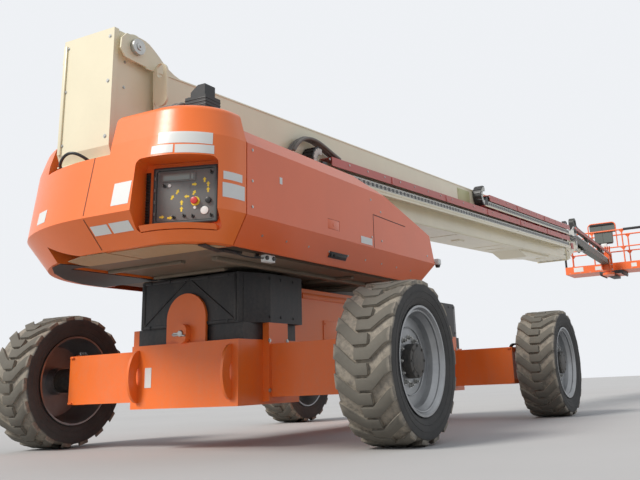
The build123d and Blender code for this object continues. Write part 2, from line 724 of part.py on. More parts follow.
# Lift cylinder from the deck to the lug under the base boom
eye_x, eye_z = boom_point(lift_eye, -lift_eye_drop)
foot = Vector(lift_foot_x, 0, lift_foot_z)
eye = Vector(eye_x, 0, eye_z)


def cylinder_pair(foot, eye, barrel_radius, rod_radius, foot_pin, half_eye, retract, gland, names):
    reach = (eye - foot).length
    push = (eye - foot).normalized()
    eye_radius = rod_radius * 1.3
    barrel_length = reach - retract - eye_radius - 2 * rod_radius
    start = Plane(origin=foot, x_dir=(0, 1, 0), z_dir=push)
    with BuildPart() as barrel:
        with BuildSketch(start):
            Circle(barrel_radius)
        extrude(amount=barrel_length)
        with BuildSketch(start.offset(barrel_length - 60)):
            Circle(barrel_radius + gland)
        extrude(amount=50)
        add(pin_solid(foot.X, foot.Z, barrel_radius, -half_eye, half_eye))
        with BuildSketch(start.offset(barrel_radius + 20)):
            Circle(rod_radius + fit)
        extrude(amount=barrel_length, mode=Mode.SUBTRACT)
        add(pin_solid(foot.X, foot.Z, foot_pin + fit, -half_eye - 50, half_eye + 50), mode=Mode.SUBTRACT)
    save(barrel.part, names[0])
    with BuildPart() as rod:
        with BuildSketch(start.offset(barrel_radius + 25 + retract)):
            Circle(rod_radius)
        extrude(amount=reach - barrel_radius - 25 - retract)
        add(pin_solid(eye.X, eye.Z, eye_radius, -half_eye, half_eye))
    save(rod.part, names[1])


cylinder_pair(foot, eye, lift_barrel_radius, lift_rod_radius, 45, 66, lift_retract, 14,
              ("lift_cylinder_barrel", "lift_cylinder_rod"))

# Jib: upright that stays level on the boom's nose, arm, side links, cylinder
head_x, head_z = boom_point(head_pin, -head_drop)
jib_along = Vector(cos(radians(jib_angle)), 0, sin(radians(jib_angle)))
jib_start = Vector(jib_pivot_x, 0, jib_pivot_z)
jib_side = Plane(origin=jib_start, x_dir=jib_along, z_dir=(0, -1, 0))
jib_end = jib_start + jib_along * jib_length
jib_foot = jib_start + Vector(40, 0, -248)
jib_eye_local = (944.0, -130.0)

cheek_inner = jib_half_width + jib_side_gap
cheek_outer = cheek_inner + jib_cheek
link_middle = cheek_outer + link_gap + link_thickness / 2
link_outer = link_middle + link_thickness / 2

with BuildPart() as jib_upright:
    block_rear = head_x + 110
    block_front = jib_pivot_x - 140
    for side in (-1, 1):
        add(side_solid([(head_x - 70, head_z - 60), (head_x + 100, head_z - 100),
                        (block_front, jib_pivot_z - 250), (block_front, jib_pivot_z + 140),
                        (head_x - 70, head_z + 90)],
                       side * 163 - 10, side * 163 + 10))
        add(side_solid([(block_rear, head_z - 60), (jib_foot.X - 90, jib_foot.Z - 40),
                        (jib_foot.X + 30, jib_foot.Z - 40), (jib_pivot_x + 85, jib_pivot_z),
                        (jib_pivot_x + 45, jib_pivot_z + link_rise + 50),
                        (jib_pivot_x - 60, jib_pivot_z + link_rise + 50), (block_rear, jib_pivot_z + 120)],
                       *sorted((side * cheek_inner, side * cheek_outer))))
        # ears of the cylinder's foot, inside the arm's channel, and the link's pin
        add(side_solid([(block_front - 5, jib_foot.Z - 60), (jib_foot.X + 15, jib_foot.Z - 42),
                        (jib_foot.X + 42, jib_foot.Z), (jib_foot.X + 15, jib_foot.Z + 42),
                        (block_front - 5, jib_foot.Z + 60)], *sorted((side * 44, side * 57))))
        add(pin_solid(jib_pivot_x, jib_pivot_z + link_rise, link_pin, *sorted((side * (cheek_inner + 3),
                                                                              side * (link_outer + 8)))))
    add(box_solid(block_rear, block_front, -173, 173, head_z - 60, jib_pivot_z + 120))
    add(pin_solid(head_x, head_z, head_pin_radius, -215, 215))
    add(pin_solid(jib_pivot_x, jib_pivot_z, 40, -cheek_outer - 5, cheek_outer + 5))
    add(pin_solid(jib_foot.X, jib_foot.Z, 25, -56, 56))
save(jib_upright.part, "jib_upright")

with BuildPart() as jib_arm:
    add(side_solid([(-60, -jib_depth / 2), (jib_length + 40, -70), (jib_length + 40, 70), (-60, jib_depth / 2)],
                   -jib_half_width, jib_half_width, jib_side))
    with BuildSketch(jib_side.offset(-jib_half_width)):
        Circle(jib_depth / 2)
    extrude(amount=2 * jib_half_width)
    # open channel below, where the jib cylinder lies between the cheeks
    add(side_solid([(-200, -300), (1150, -300), (1150, -60), (1060, 85), (-200, 85)], -62, 62, jib_side),
        mode=Mode.SUBTRACT)
    for cheek in (-76, 76):
        add(side_solid([(740, -90), (jib_eye_local[0] - 60, jib_eye_local[1] - 40),
                        (jib_eye_local[0] + 60, jib_eye_local[1] - 40), (1150, -88)],
                       cheek - 13, cheek + 13, jib_side))
        with BuildSketch(jib_side.offset(cheek - 20 if cheek < 0 else cheek - 13)):
            with Locations(jib_eye_local):
                Circle(28)
        extrude(amount=33)
    # hose tray on brackets over the arm, with the carrier's loop at its start
    add(side_solid([(300, 290), (3000, 262), (3000, 272), (300, 300)], -65, 65, jib_side))
    for spot in (420, 1500, 2850):
        add(side_solid([(spot - 25, 60), (spot + 25, 60), (spot + 25, 285), (spot - 25, 285)],
                       -40, 40, jib_side))
    with BuildSketch(jib_side.offset(-60)):
        with Locations((300, 400)):
            Circle(110)
            Circle(62, mode=Mode.SUBTRACT)
    extrude(amount=120)
    add(pin_solid(jib_pivot_x, jib_pivot_z, 40 + fit, -200, 200), mode=Mode.SUBTRACT)
    add(pin_solid(jib_end.X, jib_end.Z, 35 + fit, -200, 200), mode=Mode.SUBTRACT)
save(jib_arm.part, "jib_arm")

with BuildPart() as links:
    for side in (-1, 1):
        middle = side * link_middle
        half = link_thickness / 2
        for spot in (jib_start, jib_end):
            add(pin_solid(spot.X, spot.Z + link_rise, 42, middle - half, middle + half))
        add(side_solid([(0, -28), (jib_length, -28), (jib_length, 28), (0, 28)], middle - half, middle + half,
                       Plane(origin=jib_start + Vector(0, 0, link_rise), x_dir=jib_along, z_dir=(0, -1, 0))))
        for spot in (jib_start, jib_end):
            add(pin_solid(spot.X, spot.Z + link_rise, link_pin + fit, middle - 30, middle + 30), mode=Mode.SUBTRACT)
save(links.part, "level_links")

eye_spot = jib_side.from_local_coords(Vector(jib_eye_local[0], jib_eye_local[1], 0))
cylinder_pair(jib_foot, eye_spot, 42, 25, 25, 40, jib_retract, 5, ("jib_cylinder_barrel", "jib_cylinder_rod"))

# Platform support: level clevis at the jib's end with the rotator's post
rotator_x = jib_end.X + rotator_offset
platform_rear = rotator_x + platform_gap
floor_height = jib_end.Z - floor_drop
with BuildPart() as support:
    for side in (-1, 1):
        add(side_solid([(jib_end.X - 55, jib_end.Z - 60), (rotator_x - 60, floor_height - 60),
                        (rotator_x - 60, jib_end.Z + 260), (jib_end.X - 55, jib_end.Z + 250)],
                       *sorted((side * cheek_inner, side * cheek_outer))))
        add(pin_solid(jib_end.X, jib_end.Z + link_rise, link_pin, *sorted((side * (cheek_inner + 3),
                                                                          side * (link_outer + 8)))))
    add(box_solid(rotator_x - 110, rotator_x - 60, -150, 150, floor_height - 60, jib_end.Z + 260))
    with BuildSketch(Plane.XY.offset(floor_height - 90 + fit)):
        with Locations((rotator_x, 0)):
            Circle(80)
    extrude(amount=jib_end.Z + 240 - floor_height + 90 - fit)
    add(pin_solid(jib_end.X, jib_end.Z, 35, -cheek_outer - 5, cheek_outer + 5))
save(support.part, "platform_support")

# Console in the platform and the arch of the rear rail round it
console_right = -220.0
console_left = 450.0
arch_height = 230.0
arch_gap = 35.0

# Platform: floor with toe boards, posts and rails, carried from below by its bracket
rail_top = floor_height + rail_height
mid_rail = rail_height * 0.56
rail_rows = [(rail_height - rail_radius, rail_radius), (mid_rail, rail_radius - 3)]     # height, radius
platform_front = platform_rear + platform_length
with BuildPart() as platform:
    with BuildSketch(Plane.XY.offset(floor_height - 90)):
        with Locations(((rotator_x + platform_front - 150) / 2, 0)):
            Rectangle(platform_front - 150 - rotator_x, 180)
        with Locations((rotator_x, 0)):
            Circle(150)
    extrude(amount=-60)
    with BuildSketch(Plane.XY.offset(floor_height - 90)):
        with Locations(((platform_rear + platform_front - 150) / 2, 0)):
            Rectangle(platform_front - 150 - platform_rear, 600)
    extrude(amount=90)
    add(box_solid(platform_rear, platform_front, -platform_half_width, platform_half_width,
                  floor_height, floor_height + 40))
    for x in (platform_rear + 10, platform_front - 10):
        add(box_solid(x - 10, x + 10, -platform_half_width, platform_half_width,
                      floor_height, floor_height + toe_height))
    add(box_solid(platform_rear, platform_front, -platform_half_width, -platform_half_width + 20,
                  floor_height, floor_height + toe_height))
    for x in (platform_rear + rail_inset, platform_front - rail_inset):
        for y in (-platform_half_width + rail_inset, -400, 400, platform_half_width - rail_inset):
            with BuildSketch(Plane.XY.offset(floor_height + 20)):
                with Locations((x, y)):
                    Circle(post_radius)
            extrude(amount=rail_height - 20)
        for level, radius in rail_rows:
            with BuildSketch(Plane.XZ.offset(platform_half_width - rail_inset)):
                with Locations((x, floor_height + level)):
                    Circle(radius)
            extrude(amount=-2 * (platform_half_width - rail_inset))
    for level, radius in rail_rows:
        with BuildSketch(Plane.YZ.offset(platform_rear + rail_inset)):
            with Locations((-platform_half_width + rail_inset, floor_height + level)):
                Circle(radius - 1.5)
        extrude(amount=platform_length - 2 * rail_inset)
    arch_low = floor_height + mid_rail
    arch_top = floor_height + rail_height - rail_radius + arch_height
    with BuildLine(Plane.YZ.offset(platform_rear + rail_inset)) as arch:
        FilletPolyline((console_right - arch_gap, arch_low), (console_right - arch_gap, arch_top),
                       (console_left + arch_gap, arch_top), (console_left + arch_gap, arch_low), radius=100)
    with BuildSketch(Plane.XY.offset(arch_low)):
        with Locations((platform_rear + rail_inset, console_right - arch_gap)):
            Circle(rail_radius - 5)
    sweep(path=arch.line)
    # ears on the front left post, round the gate's front stile
    stile_x = platform_front - rail_inset - post_radius - gate_gap - gate_stile
    for level in (300, 850):
        with BuildSketch(Plane.XY.offset(floor_height + level)):
            with Locations(((stile_x + platform_front - rail_inset) / 2, platform_half_width - rail_inset)):
                SlotOverall(platform_front - rail_inset - stile_x + 52, 52)
            with Locations((stile_x, platform_half_width - rail_inset)):
                Circle(post_radius - 4 + fit, mode=Mode.SUBTRACT)
        extrude(amount=25)
save(platform.part, "platform_basket")

gate_y = platform_half_width - rail_inset
gate_start = platform_rear + rail_inset + post_radius + gate_gap
gate_end = platform_front - rail_inset - post_radius - gate_gap
with BuildPart() as gate:
    for level, radius in rail_rows:
        with BuildSketch(Plane.YZ.offset(gate_start)):
            with Locations((gate_y, floor_height + level)):
                Circle(radius)
        extrude(amount=gate_end - gate_start)
    for x in (gate_start + gate_stile, gate_end - gate_stile):
        with BuildSketch(Plane.XY.offset(floor_height + 60)):
            with Locations((x, gate_y)):
                Circle(post_radius - 4)
        extrude(amount=rail_height - rail_radius - 60)
    add(box_solid(gate_start, gate_end, gate_y - 5, gate_y + 5, floor_height + 50, floor_height + toe_height))
save(gate.part, "platform_gate")

with BuildPart() as console:
    console_rear = platform_rear + rail_inset + rail_radius + fit
    add(side_solid([(console_rear, rail_top - 30), (console_rear + 190, rail_top - 30),
                    (console_rear + 230, rail_top + 110), (console_rear, rail_top + 190)],
                   console_right, console_left))
    add(side_solid([(console_rear, rail_top - 330), (console_rear + 130, rail_top - 330),
                    (console_rear + 170, rail_top - 25), (console_rear, rail_top - 25)],
                   console_right + 90, console_left - 110))
save(console.part, "platform_console")
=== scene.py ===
import bpy
import bmesh
from math import sin, cos, pi, radians
from mathutils import Vector, Matrix


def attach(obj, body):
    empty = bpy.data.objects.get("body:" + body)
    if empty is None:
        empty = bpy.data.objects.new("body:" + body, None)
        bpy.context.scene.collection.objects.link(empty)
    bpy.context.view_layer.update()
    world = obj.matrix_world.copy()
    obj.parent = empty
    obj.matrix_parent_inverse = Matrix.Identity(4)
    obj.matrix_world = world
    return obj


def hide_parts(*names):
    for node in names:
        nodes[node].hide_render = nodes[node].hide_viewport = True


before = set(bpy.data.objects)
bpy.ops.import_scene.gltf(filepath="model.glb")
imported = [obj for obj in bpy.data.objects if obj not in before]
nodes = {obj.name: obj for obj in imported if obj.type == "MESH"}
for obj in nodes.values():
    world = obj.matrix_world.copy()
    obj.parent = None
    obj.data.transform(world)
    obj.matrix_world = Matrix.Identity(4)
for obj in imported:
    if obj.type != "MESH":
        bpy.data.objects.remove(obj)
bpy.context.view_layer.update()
print("frame loaded", len(nodes), "nodes")

# Camera low behind the right rear wheel, looking up along the boom
camera = {
    "place": (-7.247, -4.369, 0.430),
    "yaw": 27.26,           # from forward towards the left
    "pitch": 15.9,
    "roll": -2.53,
    "lens": 44.70,
    "shift": (-0.0894, -0.1287),
    "sees": 400,
}


def makeCamera():
    data = bpy.data.cameras.new("viewCamera")
    data.sensor_width = 36
    data.lens = camera["lens"]
    data.shift_x, data.shift_y = camera["shift"]
    data.clip_end = camera["sees"]
    yaw, pitch, roll = (radians(camera[k]) for k in ("yaw", "pitch", "roll"))
    ahead = Vector((cos(yaw) * cos(pitch), sin(yaw) * cos(pitch), sin(pitch)))
    right = ahead.cross(Vector((0, 0, 1))).normalized()
    up = right.cross(ahead)
    turnedRight = right * cos(roll) + up * sin(roll)
    turnedUp = up * cos(roll) - right * sin(roll)
    seen = bpy.data.objects.new("viewCamera", data)
    grid = Matrix((turnedRight, turnedUp, -ahead)).transposed().to_4x4()
    seen.matrix_world = Matrix.Translation(camera["place"]) @ grid
    bpy.context.scene.collection.objects.link(seen)
    bpy.context.scene.camera = seen


makeCamera()


class Value:
    # a number in a node tree, used like any number
    def __init__(self, tree, socket):
        self.tree = tree
        self.socket = socket

    def join(self, operation, *others, flip=False):
        node = self.tree.nodes.new("ShaderNodeMath")
        node.operation = operation
        items = (others[0], self) if flip else (self, *others)
        for place, item in zip(node.inputs, items):
            if isinstance(item, Value):
                self.tree.links.new(item.socket, place)
            else:
                place.default_value = item
        return Value(self.tree, node.outputs[0])

    def __add__(self, other):
        return self.join("ADD", other)

    __radd__ = __add__

    def __sub__(self, other):
        return self.join("SUBTRACT", other)

    def __rsub__(self, other):
        return self.join("SUBTRACT", other, flip=True)

    def __mul__(self, other):
        return self.join("MULTIPLY", other)

    __rmul__ = __mul__

    def __truediv__(self, other):
        return self.join("DIVIDE", other)

    def __pow__(self, other):
        return self.join("POWER", other)

    def __abs__(self):
        return self.join("ABSOLUTE")

    def above(self, other):
        return self.join("GREATER_THAN", other)

    def least(self, other):
        return self.join("MINIMUM", other)

    def most(self, other):
        return self.join("MAXIMUM", other)

    def held(self):
        return self.least(1.0).most(0.0)

    def ramp(self, low, high):
        return ((self - low) / (high - low)).held()


class Finish:
    # one material: its surface sockets and the nodes that feed them
    def __init__(self, name):
        self.material = bpy.data.materials.new(name)
        self.material.use_nodes = True
        self.tree = self.material.node_tree
        self.surface = self.tree.nodes["Principled BSDF"]
        self.coords = self.node("ShaderNodeTexCoord", output="Object")
        split = self.node("ShaderNodeSeparateXYZ", Vector=self.coords)
        self.x, self.y, self.z = (Value(self.tree, axis) for axis in split.socket.node.outputs)

    def node(self, kind, settings=None, output=0, **inputs):
        made = self.tree.nodes.new(kind)
        for key, value in (settings or {}).items():
            setattr(made, key, value)
        for key, value in inputs.items():
            self.put(made.inputs[int(key) if key.isdigit() else key], value)
        out = made.outputs[output]
        return Value(self.tree, out) if out.type == "VALUE" else out

    def put(self, socket, value):
        if isinstance(value, Value):
            self.tree.links.new(value.socket, socket)
        elif isinstance(value, bpy.types.NodeSocket):
            self.tree.links.new(value, socket)
        elif isinstance(value, tuple) and socket.type == "RGBA":
            socket.default_value = (*value, 1)
        else:
            socket.default_value = value

    def surfaceIs(self, **sockets):
        for key, value in sockets.items():
            self.put(self.surface.inputs[key], value)

    def stretched(self, scale):
        return self.node("ShaderNodeMapping", Vector=self.coords, Scale=scale)

    def noise(self, scale, detail=4.0, roughness=0.55, vector=None):
        return self.node("ShaderNodeTexNoise", output="Fac", Vector=vector or self.coords, Scale=scale,
                         Detail=detail, Roughness=roughness)

    def mix(self, mask, first, second):
        return self.node("ShaderNodeMix", {"data_type": "RGBA"}, output=2, **{"0": mask, "6": first, "7": second})

    def bump(self, height, strength, distance):
        return self.node("ShaderNodeBump", Height=height, Strength=strength, Distance=distance)


finishes = {}

# Painted steel: colour, dust, height it gathers below, roughness, clear coat
paints = {
    "orangePaint": ((0.86, 0.165, 0.018), 0.12, 1.1, 0.38, 0.2),
    "cowlPaint": ((0.86, 0.165, 0.018), 0.05, 1.6, 0.34, 0.25),
    # hoods: the cowl's orange made darker and pinker, painted shade and painted sky reflection
    "hoodPaintShadedSkyTint": ((0.78, 0.130, 0.028), 0.06, 1.6, 0.34, 0.35),
    "creamPaint": ((0.80, 0.72, 0.52), 0.08, 2.6, 0.33, 0.35),
    "trayPaint": ((0.52, 0.110, 0.090), 0.05, 3.0, 0.42, 0.1),
    # deck underside: dark steel and hoses, made darker still as painted shade under the deck
    "undersidePaintAndShade": ((0.17, 0.13, 0.09), 0.35, 1.5, 0.6, 0.0),
    # tan under the cowl and tail: painted reflection of the ground's colour
    "panGroundReflection": ((0.46, 0.31, 0.17), 0.20, 1.5, 0.55, 0.0),
    "linkPaint": ((0.46, 0.095, 0.070), 0.04, 3.0, 0.42, 0.1),
    "panelFace": ((0.160, 0.162, 0.155), 0.05, 1.2, 0.45, 0.0),
    "consoleGrey": ((0.100, 0.112, 0.100), 0.05, 1.2, 0.5, 0.0),
    "jibPaint": ((0.070, 0.074, 0.055), 0.04, 3.4, 0.45, 0.1),
    "headPaint": ((0.50, 0.50, 0.48), 0.05, 3.4, 0.42, 0.1),
    "platformPaint": ((0.82, 0.140, 0.024), 0.04, 3.3, 0.36, 0.25),
    "platePaint": ((0.52, 0.50, 0.26), 0.15, 2.6, 0.45, 0.0),
    "linkGrey": ((0.60, 0.585, 0.53), 0.05, 3.0, 0.45, 0.0),
    "windowGlass": ((0.20, 0.24, 0.22), 0.03, 1.2, 0.12, 0.8),
    "cylinderPaint": ((0.74, 0.66, 0.47), 0.15, 1.9, 0.38, 0.2),
    "panelGrey": ((0.070, 0.078, 0.078), 0.12, 1.2, 0.45, 0.0),
    "shroudBlack": ((0.018, 0.018, 0.020), 0.12, 1.4, 0.48, 0.0),
    "blackSteel": ((0.022, 0.022, 0.022), 0.22, 1.2, 0.5, 0.0),
    "plateWhite": ((0.70, 0.70, 0.67), 0.10, 1.2, 0.4, 0.2),
    "markYellow": ((0.85, 0.62, 0.03), 0.05, 1.2, 0.4, 0.2),
    "markRed": ((0.55, 0.02, 0.015), 0.05, 1.2, 0.35, 0.3),
}
wear = {
    "dust": (0.36, 0.31, 0.25),
    "shade": 0.90, "light": 1.04,           # of the colour, in broad patches
    "fade": (0.25, -0.9),                   # dust is full this far below its height
    "streaks": (3, 3, 0.8),
    "amount": 1.9, "spots": 0.4,
    "dullness": 0.45, "grain": 0.12,
}


def paintFinish(name, colour, dust, dustBelow, rough, coat):
    made = Finish(name)
    wide = made.noise(0.9, 5, 0.6)
    fine = made.noise(38, 6, 0.65)
    streak = made.noise(2.4, 5, 0.6, made.stretched(wear["streaks"]))
    speckle = made.noise(150, 3, 0.5)
    shaded = tuple(c * wear["shade"] for c in colour)
    lit = tuple(min(1.0, c * wear["light"] + 0.002) for c in colour)
    base = made.mix(wide.ramp(0.30, 0.72), shaded, lit)
    low = made.z.ramp(*(dustBelow + height for height in wear["fade"]))
    patches = (streak * 0.55 + fine * 0.45).ramp(0.44, 0.74)
    grime = (patches * (low * 0.85 + 0.15) * dust * wear["amount"]).held()
    spots = (speckle.above(0.74) * wide * dust * wear["spots"]).held()
    made.surfaceIs(**{
        "Base Color": made.mix((grime + spots).held(), base, wear["dust"]),
        "Roughness": (rough + grime * wear["dullness"] + (fine - 0.5) * wear["grain"]).held(),
        "Coat Weight": coat,
        "Coat Roughness": 0.30,
        "Normal": made.bump(fine * 0.4 + wide * 0.6, 0.03, 0.003),
    })
    finishes[name] = made.material


for name, look in paints.items():
    paintFinish(name, *look)


# Tyres: grey lug faces, pale dust between them, dark walls
tyreLook = {
    "wheelX": 1.93, "axleHeight": 0.58,
    "face": (0.568, 0.572),                 # radius where a lug's face begins
    "ground": (0.534, 0.544),               # and the ground between lugs
    "wallDark": (0.050, 0.050, 0.050),
    "wallDusty": (0.095, 0.090, 0.084),
    "grooveDust": (0.300, 0.265, 0.215),
    "faceGrey": (0.130, 0.120, 0.100),
}


def tyreFinish():
    made = Finish("tyreRubber")
    fromAxle = (abs(made.x) - tyreLook["wheelX"]) ** 2 + (made.z - tyreLook["axleHeight"]) ** 2
    radius = fromAxle ** 0.5
    face = radius.ramp(*tyreLook["face"])
    ground = radius.ramp(*tyreLook["ground"])
    grit = made.noise(24, 8, 0.7)
    patch = made.noise(4.5, 4, 0.6)
    fine = made.noise(130, 4, 0.6)
    wall = made.mix((patch * 0.7 + grit * 0.5).ramp(0.35, 0.95), tyreLook["wallDark"], tyreLook["wallDusty"])
    groove = made.mix((ground * (grit.ramp(0.25, 0.60) * 0.8 + 0.2)).held(), wall, tyreLook["grooveDust"])
    made.surfaceIs(**{
        "Base Color": made.mix((face * (grit.ramp(0.15, 0.50) * 0.35 + 0.65)).held(), groove,
                               tyreLook["faceGrey"]),
        "Roughness": (0.82 + (grit - 0.5) * 0.2).held(),
        "Specular IOR Level": 0.3,
        "Normal": made.bump(grit * 0.7 + fine * 0.5, 0.30, 0.005),
    })
    finishes["tyreRubber"] = made.material


tyreFinish()

# Bare metal: colour, roughness, depth of its grain
metals = {
    "rodChrome": ((0.80, 0.80, 0.82), 0.12, 0.03),
    "rimPaint": ((0.40, 0.41, 0.42), 0.44, 0.10),
    "zincSteel": ((0.56, 0.56, 0.54), 0.38, 0.15),
    "bearingSteel": ((0.30, 0.28, 0.26), 0.48, 0.25),
    "engineMetal": ((0.25, 0.25, 0.25), 0.5, 0.35),
}


def metalFinish(name, colour, rough, bumpy):
    made = Finish(name)
    fine = made.noise(60, 6, 0.6)
    wide = made.noise(5, 4, 0.6)
    made.surfaceIs(**{
        "Base Color": made.mix(wide.ramp(0.3, 0.75), tuple(c * 0.72 for c in colour), colour),
        "Metallic": 1.0,
        "Roughness": (rough + (fine - 0.5) * 0.16 + (wide - 0.5) * 0.10).held(),
        "Normal": made.bump(fine, bumpy, 0.003),
    })
    finishes[name] = made.material


for name, look in metals.items():
    metalFinish(name, *look)

# Rubber, foam and plastic: colour, roughness, size and depth of the grain
plastics = {
    "carrierBlack": ((0.030, 0.030, 0.030), 0.5, 220, 0.15),
    "hoseRubber": ((0.016, 0.016, 0.016), 0.42, 90, 0.25),
    "knobBlack": ((0.012, 0.012, 0.012), 0.35, 220, 0.15),
    "sleeveGrey": ((0.150, 0.140, 0.125), 0.7, 300, 0.4),
    "cableOrange": ((0.62, 0.11, 0.03), 0.45, 220, 0.15),
    "seamBlack": ((0.012, 0.010, 0.010), 0.7, 220, 0.15),
    "padFoam": ((0.020, 0.020, 0.022), 0.75, 120, 0.35),
}


def plasticFinish(name, colour, rough, grain, bumpy):
    made = Finish(name)
    fine = made.noise(grain, 4, 0.6)
    wide = made.noise(3.5, 5, 0.6)
    made.surfaceIs(**{
        "Base Color": made.mix(wide.ramp(0.3, 0.75), colour, tuple(c * 1.35 + 0.006 for c in colour)),
        "Roughness": (rough + (wide - 0.5) * 0.18).held(),
        "Normal": made.bump(fine, bumpy, 0.001),
    })
    finishes[name] = made.material


for name, look in plastics.items():
    plasticFinish(name, *look)
print("finishes", len(finishes))

# Wheels stand at these corners: end, side, name
corners = [(end, side, ("rear" if end < 0 else "front") + "_" + ("left" if side > 0 else "right"))
           for end in (-1, 1) for side in (-1, 1)]

# Each node's finish
cadFinish = {
    "orangePaint": ["chassis_frame", *("axle_beam_" + name for *_, name in corners)],
    "cowlPaint": ["tail_counterweight", "control_cowl"],
    "hoodPaintShadedSkyTint": ["right_hood", "left_hood"],
    "trayPaint": ["cable_trays"],
    "creamPaint": ["boom_upright", "base_boom", "outer_mid_boom", "inner_mid_boom", "fly_boom"],
    # the deck's underside takes a dark colour that is partly painted shade
    "undersidePaintAndShade": ["turntable_deck"],
    "shroudBlack": ["hose_shrouds", "beacon"],
    "blackSteel": ["knuckle_" + name for *_, name in corners],
    "consoleGrey": ["platform_console"],
    "panelGrey": ["ground_controls"],
    "carrierBlack": ["cable_carriers"],
    "bearingSteel": ["slew_ring"],
    "engineMetal": ["engine_block"],
    "rimPaint": ["rim_" + name for *_, name in corners],
    "tyreRubber": ["tyre_" + name for *_, name in corners],
    "cylinderPaint": ["lift_cylinder_barrel", "jib_cylinder_barrel"],
    "rodChrome": ["lift_cylinder_rod", "jib_cylinder_rod"],
    "jibPaint": ["jib_arm"],
    "linkPaint": ["level_links"],
    "headPaint": ["jib_upright"],
    "platformPaint": ["platform_support", "platform_basket", "platform_gate"],
}
for finish, names in cadFinish.items():
    for name in names:
        slots = nodes[name].data.materials
        slots.clear()
        slots.append(finishes[finish])
print("nodes finished", sum(len(names) for names in cadFinish.values()))


class Maker:
    # gathers forms of one piece in the shared frame
    def __init__(self):
        self.sheet = bmesh.new()

    def soften(self, edges, bevel, segments=2):
        if bevel:
            bmesh.ops.bevel(self.sheet, geom=list(edges), offset=bevel, segments=segments, profile=0.5,
                            affect="EDGES", material=-1)

    def box(self, centre, size, turn=None, bevel=0.0, segments=2):
        grid = Matrix.Translation(centre)
        if turn:
            grid = grid @ turn.to_4x4()
        made = bmesh.ops.create_cube(self.sheet, size=1, matrix=grid @ Matrix.Diagonal((*size, 1)))
        self.soften({edge for vert in made["verts"] for edge in vert.link_edges}, bevel, segments)

    def rod(self, start, end, radius, sides=16, tip=None, bevel=0.0):
        start, end = Vector(start), Vector(end)
        way = end - start
        turn = Vector((0, 0, 1)).rotation_difference(way).to_matrix().to_4x4()
        made = bmesh.ops.create_cone(self.sheet, cap_ends=True, segments=sides, radius1=radius,
                                     radius2=radius if tip is None else tip, depth=way.length,
                                     matrix=Matrix.Translation((start + end) / 2) @ turn)
        rims = [edge for edge in {e for v in made["verts"] for e in v.link_edges}
                if any(len(face.verts) > 4 for face in edge.link_faces)]
        self.soften(rims, bevel)

    def ball(self, centre, radius):
        bmesh.ops.create_uvsphere(self.sheet, u_segments=20, v_segments=12, radius=radius,
                                  matrix=Matrix.Translation(centre))

    def ring(self, centre, axis, radius, thickness, around, sides):
        centre, axis = Vector(centre), Vector(axis).normalized()
        out = axis.orthogonal().normalized()
        grid = Matrix((out, axis, axis.cross(out))).transposed().to_4x4()
        grid.translation = centre + out * radius
        made = bmesh.ops.create_circle(self.sheet, cap_ends=False, segments=sides, radius=thickness, matrix=grid)
        edges = {edge for vert in made["verts"] for edge in vert.link_edges}
        self.turned(made["verts"] + list(edges), centre, axis, around)

    def lathe(self, profile, centre, axis, around):
        # closed profile of (radius, distance along the axis), turned right round
        centre, axis = Vector(centre), Vector(axis).normalized()
        out = axis.orthogonal().normalized()
        verts = [self.sheet.verts.new(centre + out * radius + axis * along) for radius, along in profile]
        edges = [self.sheet.edges.new(pair) for pair in zip(verts, verts[1:] + verts[:1])]
        self.turned(verts + edges, centre, axis, around)

    def turned(self, geometry, centre, axis, around):
        bmesh.ops.spin(self.sheet, geom=geometry, cent=centre, axis=axis, angle=2 * pi, steps=around,
                       use_merge=True)

    def prism(self, points, depth, bevel=0.0):
        # closed outline in space, pushed along a vector
        face = self.sheet.faces.new([self.sheet.verts.new(point) for point in points])
        pushed = bmesh.ops.extrude_face_region(self.sheet, geom=[face])
        moved = [item for item in pushed["geom"] if isinstance(item, bmesh.types.BMVert)]
        bmesh.ops.translate(self.sheet, vec=Vector(depth), verts=moved)
        self.soften({edge for vert in moved + list(face.verts) for edge in vert.link_edges}, bevel)

    def bolt(self, spot, way, radius, height):
        # washer and six-sided head
        spot, way = Vector(spot), Vector(way).normalized()
        self.rod(spot - way * 0.003, spot + way * 0.0025, radius * 1.5, 16)
        self.rod(spot, spot + way * height, radius, 6, tip=radius * 0.94)

    def done(self, name, finish, body, angle=35):
        bmesh.ops.recalc_face_normals(self.sheet, faces=self.sheet.faces)
        mesh = bpy.data.meshes.new(name)
        self.sheet.to_mesh(mesh)
        self.sheet.free()
        return place(name, mesh, finish, body, angle)


def place(name, mesh, finish, body, angle=35):
    mesh.materials.clear()
    mesh.materials.append(finishes[finish])
    mesh.shade_smooth()
    mesh.set_sharp_from_angle(angle=radians(angle))
    piece = bpy.data.objects.new(name, mesh)
    bpy.context.scene.collection.objects.link(piece)
    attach(piece, body)
    return piece


def boxes(name, finish, body, rows, turn=None, angle=35):
    # a piece of boxes: centre, size, bevel
    maker = Maker()
    for centre, size, bevel in rows:
        maker.box(centre, size, turn, bevel)
    return maker.done(name, finish, body, angle)


def rods(name, finish, body, rows):
    # a piece of rods: start, end, radius, sides, bevel
    maker = Maker()
    for start, end, radius, sides, bevel in rows:
        maker.rod(start, end, radius, sides, bevel=bevel)
    return maker.done(name, finish, body)


def bolts(name, body, spots, radius, height):
    # zinc screws: place and the way they stand
    maker = Maker()
    for spot, way in spots:
        maker.bolt(spot, way, radius, height)
    return maker.done(name, "zincSteel", body)


